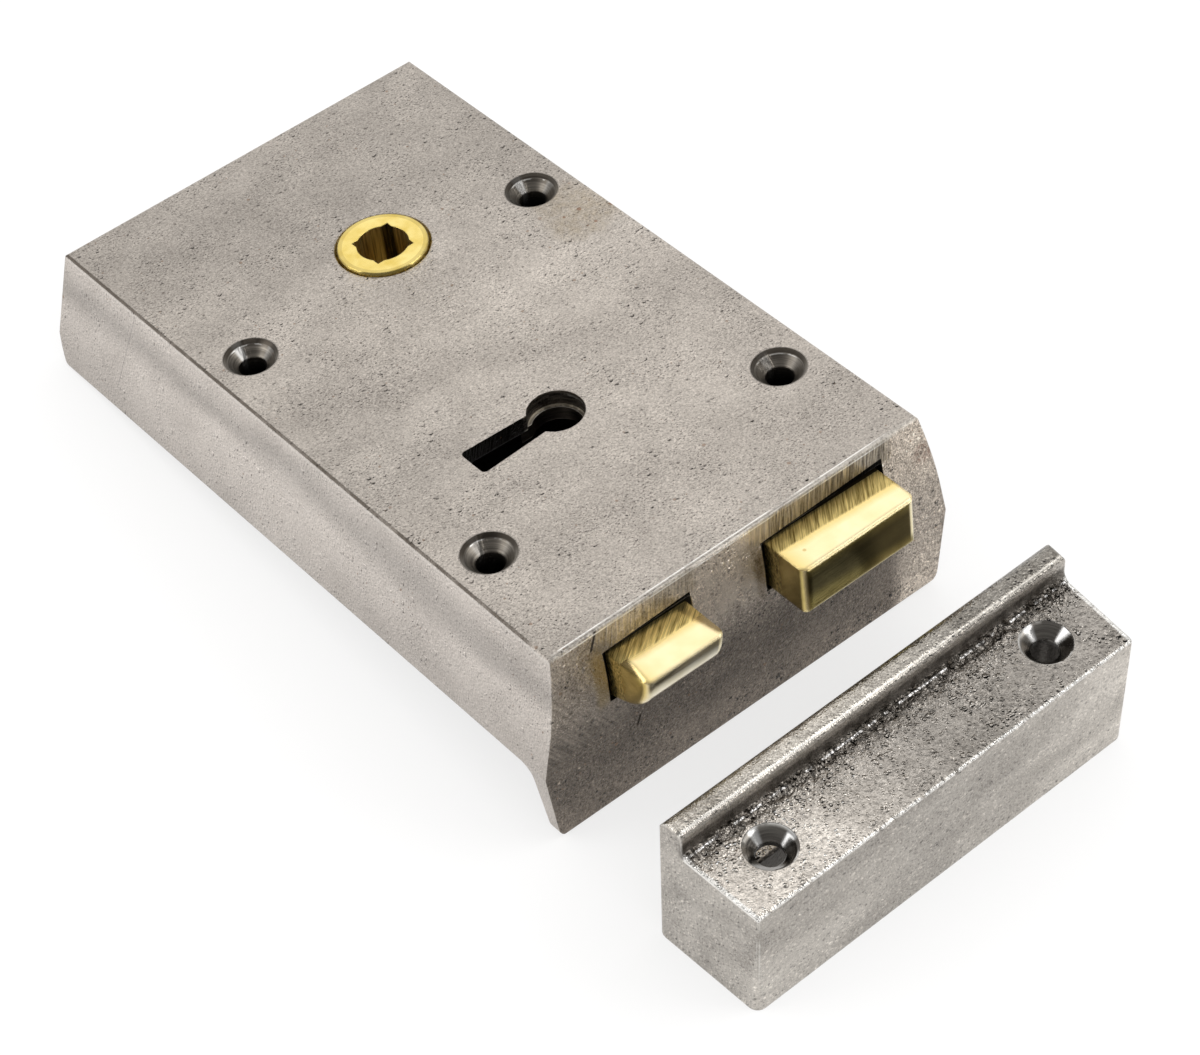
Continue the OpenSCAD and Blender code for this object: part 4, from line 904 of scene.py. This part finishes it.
FINISHES = {
    "case": CASE, "keep": KEEP, "follower": FOLLOWER_BRASS,
    "deadbolt_head": DEAD_BRASS, "latch_head": LATCH_BRASS,
    "deadbolt_rivets": DEAD_BRASS, "latch_rivets": LATCH_BRASS,
    "lever_1": LEVER_BRASS, "lever_2": LEVER_BRASS,
    "back_plate": PLATE_STEEL, "deadbolt_tail": PLATE_STEEL, "latch_tail": PLATE_STEEL,
    "keyhole_ward_face": WARD_STEEL, "keyhole_ward_back": WARD_STEEL,
    "back_plate_screws": TURNED_STEEL, "lever_pivot": TURNED_STEEL,
    "lever_washer": TURNED_STEEL, "lever_spring_stop": TURNED_STEEL,
    "latch_guide_stud": TURNED_STEEL, "deadbolt_stump": TURNED_STEEL,
    "latch_spring_rod": TURNED_STEEL,
    "latch_spring": SPRING_STEEL, "lever_spring_1": SPRING_STEEL, "lever_spring_2": SPRING_STEEL,
}

# Of each node that is drawn again: the body that it rides on
BODY_OF = {
    "case": "lock_case", "keep": "lock_case", "follower": "follower",
    "deadbolt_head": "dead_bolt", "latch_head": "latch_bolt",
}

for node, finish in FINISHES.items():
    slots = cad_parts[node].data.materials
    slots.clear()
    slots.append(finish)


# Edges sharper than this many degrees stay sharp
BLOCK_CREASE = 24
SPRING_CREASE = 35
# Corners of facets closer than this are one corner
JOIN_REACH = 0.002 * MM


def smooth_piece(name, mesh, crease):
    """A new object of a mesh, shaded smooth but for its sharp edges."""
    mesh.shade_smooth()
    mesh.set_sharp_from_angle(angle=math.radians(crease))
    piece = bpy.data.objects.new(name, mesh)
    bpy.context.scene.collection.objects.link(piece)
    return piece


def smooth_copy(node, name):
    """The node's own shape with its facets joined, so that round faces shade round."""
    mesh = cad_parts[node].data.copy()
    mesh.name = name
    joined = bmesh.new()
    joined.from_mesh(mesh)
    bmesh.ops.remove_doubles(joined, verts=joined.verts, dist=JOIN_REACH)
    joined.to_mesh(mesh)
    joined.free()
    piece = smooth_piece(name, mesh, BLOCK_CREASE)
    flat = piece.modifiers.new("flat_faces_stay_flat", "WEIGHTED_NORMAL")
    flat.keep_sharp = True
    flat.weight = 100
    piece.data = bpy.data.meshes.new_from_object(
        piece.evaluated_get(bpy.context.evaluated_depsgraph_get()))
    piece.data.name = name
    piece.modifiers.clear()
    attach(piece, BODY_OF[node])
    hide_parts(node)


smooth_copy("case", "case_casting")
smooth_copy("keep", "keep_casting")
smooth_copy("follower", "follower_turning")
smooth_copy("deadbolt_head", "dead_bolt_block")
smooth_copy("latch_head", "latch_bolt_block")


# Springs, drawn by Geometry Nodes

COIL_STEPS = 40
WIRE_SIDES = 12
LEAF_STEPS = 24


def tree_with(name, inputs):
    """A geometry tree with named inputs, and the sockets that hand them on."""
    tree = bpy.data.node_groups.new(name, "GeometryNodeTree")
    for label, kind in inputs:
        tree.interface.new_socket(label, in_out="INPUT", socket_type=kind)
    tree.interface.new_socket("Geometry", in_out="OUTPUT", socket_type="NodeSocketGeometry")
    return tree, tree.nodes.new("NodeGroupInput").outputs


def swept(tree, path, profile):
    """A profile carried along a path, closed at both ends."""
    made = add_node(
        tree, "GeometryNodeCurveToMesh", Curve=path.outputs["Curve"],
        Profile_Curve=profile.outputs["Curve"], Fill_Caps=True)
    return made.outputs["Mesh"]


def end_tree(tree, geometry, finish):
    real = add_node(tree, "GeometryNodeRealizeInstances", Geometry=geometry)
    dressed = add_node(
        tree, "GeometryNodeSetMaterial", Geometry=real.outputs["Geometry"], Material=finish)
    add_node(tree, "NodeGroupOutput", Geometry=dressed.outputs["Geometry"])


def grown(name, tree, values):
    """Runs a tree on an empty mesh with its inputs set, and returns a plain mesh object."""
    holder = bpy.data.objects.new(name + "_maker", bpy.data.meshes.new(name + "_maker"))
    bpy.context.scene.collection.objects.link(holder)
    modifier = holder.modifiers.new("maker", "NODES")
    modifier.node_group = tree
    for item in tree.interface.items_tree:
        if item.item_type == "SOCKET" and item.in_out == "INPUT" and item.name in values:
            modifier[item.identifier] = values[item.name]
    evaluated = holder.evaluated_get(bpy.context.evaluated_depsgraph_get())
    mesh = bpy.data.meshes.new_from_object(evaluated)
    mesh.name = name
    bpy.data.objects.remove(holder)
    return smooth_piece(name, mesh, SPRING_CREASE)


def coil_tree():
    """Round wire wound along the lock, from a start and over a length."""
    tree, given = tree_with("coil_spring", [
        ("Start", "NodeSocketVector"), ("Length", "NodeSocketFloat"), ("Turns", "NodeSocketFloat"),
        ("Mean Radius", "NodeSocketFloat"), ("Wire Radius", "NodeSocketFloat")])
    spiral = add_node(
        tree, "GeometryNodeCurveSpiral", Resolution=COIL_STEPS, Rotations=given["Turns"],
        Height=given["Length"], Start_Radius=given["Mean Radius"], End_Radius=given["Mean Radius"])
    wire = add_node(
        tree, "GeometryNodeCurvePrimitiveCircle", Resolution=WIRE_SIDES,
        Radius=given["Wire Radius"])
    laid = add_node(
        tree, "GeometryNodeTransform", Geometry=swept(tree, spiral, wire),
        Rotation=(0.0, math.radians(90), 0.0), Translation=given["Start"])
    end_tree(tree, laid.outputs["Geometry"], SPRING_STEEL)
    return tree


def leaf_tree():
    """Flat strip along a bent path."""
    tree, given = tree_with("leaf_spring", [
        ("Root", "NodeSocketVector"), ("Bend", "NodeSocketVector"), ("Tip", "NodeSocketVector"),
        ("Thickness", "NodeSocketFloat"), ("Width", "NodeSocketFloat")])
    path = add_node(
        tree, "GeometryNodeCurveQuadraticBezier", Resolution=LEAF_STEPS, Start=given["Root"],
        Middle=given["Bend"], End=given["Tip"])
    strip = add_node(
        tree, "GeometryNodeCurvePrimitiveQuadrilateral", Width=given["Thickness"],
        Height=given["Width"])
    end_tree(tree, swept(tree, path, strip), SPRING_STEEL)
    return tree


def make_springs():
    s = LATCH_SPRING
    half_wire = s["wire"] / 2
    coil = grown("latch_spring_coil", coil_tree(), {
        "Start": ((s["from"] + half_wire + 0.05) * MM, 0.0, s["z"] * MM),
        "Length": (s["to"] - s["from"] - s["wire"] - 0.1) * MM, "Turns": float(s["turns"]),
        "Mean Radius": s["mean"] / 2 * MM, "Wire Radius": half_wire * MM})
    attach(coil, "lock_case")
    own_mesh(coil)
    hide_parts("latch_spring")
    leaf = leaf_tree()
    for number in (1, 2):
        low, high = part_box(f"lever_spring_{number}")
        z = (low[2] + high[2]) / 2
        root, bend, tip = [(px * MM, py * MM, z) for px, py in LEAF_POINTS]
        spring = grown(f"lever_leaf_{number}", leaf, {
            "Root": root, "Bend": bend, "Tip": tip, "Thickness": LEAF_THICK * MM,
            "Width": high[2] - low[2]})
        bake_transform(spring)
        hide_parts(f"lever_spring_{number}")


make_springs()


# Floor, light and camera, in metres

FLOOR_HALF = 2.5
TABLE_WHITE = (0.86, 0.855, 0.845, 1.0)
WHITE = (1.0, 1.0, 1.0, 1.0)
# How far the floor shows plain white to the camera and in reflections, so that it meets the paper
FLOOR_GLOW = 0.65
ROOM_LIGHT = 1.2
DIMMEST_ROOM = 0.20
CAMERA_PLACE = Vector((0.436765, -0.250899, 0.436458))
CAMERA_TURN = Euler((math.radians(45.35668), math.radians(5.79414), math.radians(50.73752)), "XYZ")
LOOK = CAMERA_TURN.to_matrix() @ Vector((0, 0, -1))
LENS = 104.65
SENSOR = 36.0
LAMP_TARGET = Vector((0.055, 0.0, 0.0))
# Name, direction from the target, distance, width and height, brightness
SOFTBOXES = (
    ("softbox_behind", (-0.596, 0.395, 0.699), 1.1, (0.9, 0.6), 0.35),
    ("softbox_right", (0.56, 0.60, 0.56), 0.9, (0.55, 0.5), 2.6),
    ("softbox_left", (-0.40, -0.76, 0.50), 0.9, (0.5, 0.45), 2.6),
)


def floor_height(x):
    return -(x - REAR_BASE_X * MM) * math.tan(LEAN)


def mixed(tree, share, first, second):
    mix = add_node(tree, "ShaderNodeMixShader", Fac=share)
    for socket, shader in zip(mix.inputs[1:], (first, second)):
        feed(tree, socket, shader)
    return mix.outputs["Shader"]


def seen_directly(tree):
    """1 for camera, glossy and transmission rays."""
    path = tree.nodes.new("ShaderNodeLightPath")
    last = path.outputs["Is Camera Ray"]
    for label in ("Is Glossy Ray", "Is Transmission Ray"):
        last = add_maths(tree, "MAXIMUM", last, path.outputs[label])
    return last


def make_floor():
    mesh = bpy.data.meshes.new("floor")
    near, far = -FLOOR_HALF, FLOOR_HALF
    corners = [(near, near), (far, near), (far, far), (near, far)]
    mesh.from_pydata([(x, y, floor_height(x)) for x, y in corners], [], [(0, 1, 2, 3)])
    floor = bpy.data.objects.new("floor", mesh)
    bpy.context.scene.collection.objects.link(floor)
    material = bpy.data.materials.new("white_table")
    material.use_nodes = True
    tree = material.node_tree
    tree.nodes.clear()
    matt = add_node(tree, "ShaderNodeBsdfDiffuse", Color=TABLE_WHITE)
    glow = add_node(tree, "ShaderNodeEmission", Color=WHITE, Strength=1.0)
    share = add_maths(tree, "MULTIPLY", seen_directly(tree), FLOOR_GLOW)
    add_node(
        tree, "ShaderNodeOutputMaterial",
        Surface=mixed(tree, share, matt.outputs["BSDF"], glow.outputs["Emission"]))
    mesh.materials.append(material)


def make_world():
    """White backdrop beyond the lock; in reflections the room over the camera is dimmer."""
    world = bpy.data.worlds.new("studio")
    bpy.context.scene.world = world
    world.use_nodes = True
    tree = world.node_tree
    tree.nodes.clear()
    toward = add_node(tree, "ShaderNodeVectorMath", {"operation": "DOT_PRODUCT"})
    feed(tree, toward.inputs[0], tree.nodes.new("ShaderNodeTexCoord").outputs["Generated"])
    toward.inputs[1].default_value = tuple(Vector((LOOK.x, LOOK.y, -0.10)).normalized())
    dim = add_node(
        tree, "ShaderNodeMapRange", {"interpolation_type": "SMOOTHSTEP"},
        Value=toward.outputs["Value"], From_Min=-0.85, From_Max=0.75, To_Min=DIMMEST_ROOM,
        To_Max=1.0)
    path = tree.nodes.new("ShaderNodeLightPath")
    level = add_maths(tree, "MAXIMUM", dim.outputs["Result"], path.outputs["Is Camera Ray"])
    soft = add_node(tree, "ShaderNodeBackground", Color=WHITE, Strength=ROOM_LIGHT)
    white = add_node(tree, "ShaderNodeBackground", Color=level, Strength=1.0)
    shown = mixed(
        tree, seen_directly(tree), soft.outputs["Background"], white.outputs["Background"])
    add_node(tree, "ShaderNodeOutputWorld", Surface=shown)


def make_lamp(name, direction, distance, size, brightness):
    """A soft box whose face has the given brightness, where 1 is white."""
    data = bpy.data.lights.new(name, "AREA")
    data.shape = "RECTANGLE"
    data.size, data.size_y = size
    data.energy = brightness * math.pi * size[0] * size[1]
    lamp = bpy.data.objects.new(name, data)
    bpy.context.scene.collection.objects.link(lamp)
    way = Vector(direction).normalized()
    lamp.location = LAMP_TARGET + way * distance
    lamp.rotation_euler = way.to_track_quat("Z", "Y").to_euler()


def make_camera():
    data = bpy.data.cameras.new("camera")
    data.lens = LENS
    data.sensor_width = SENSOR
    data.sensor_fit = "HORIZONTAL"
    camera = bpy.data.objects.new("camera", data)
    bpy.context.scene.collection.objects.link(camera)
    camera.location = CAMERA_PLACE
    camera.rotation_euler = CAMERA_TURN
    bpy.context.scene.camera = camera


make_floor()
make_world()
for softbox in SOFTBOXES:
    make_lamp(*softbox)
make_camera()
bpy.context.scene.view_settings.view_transform = "Standard"
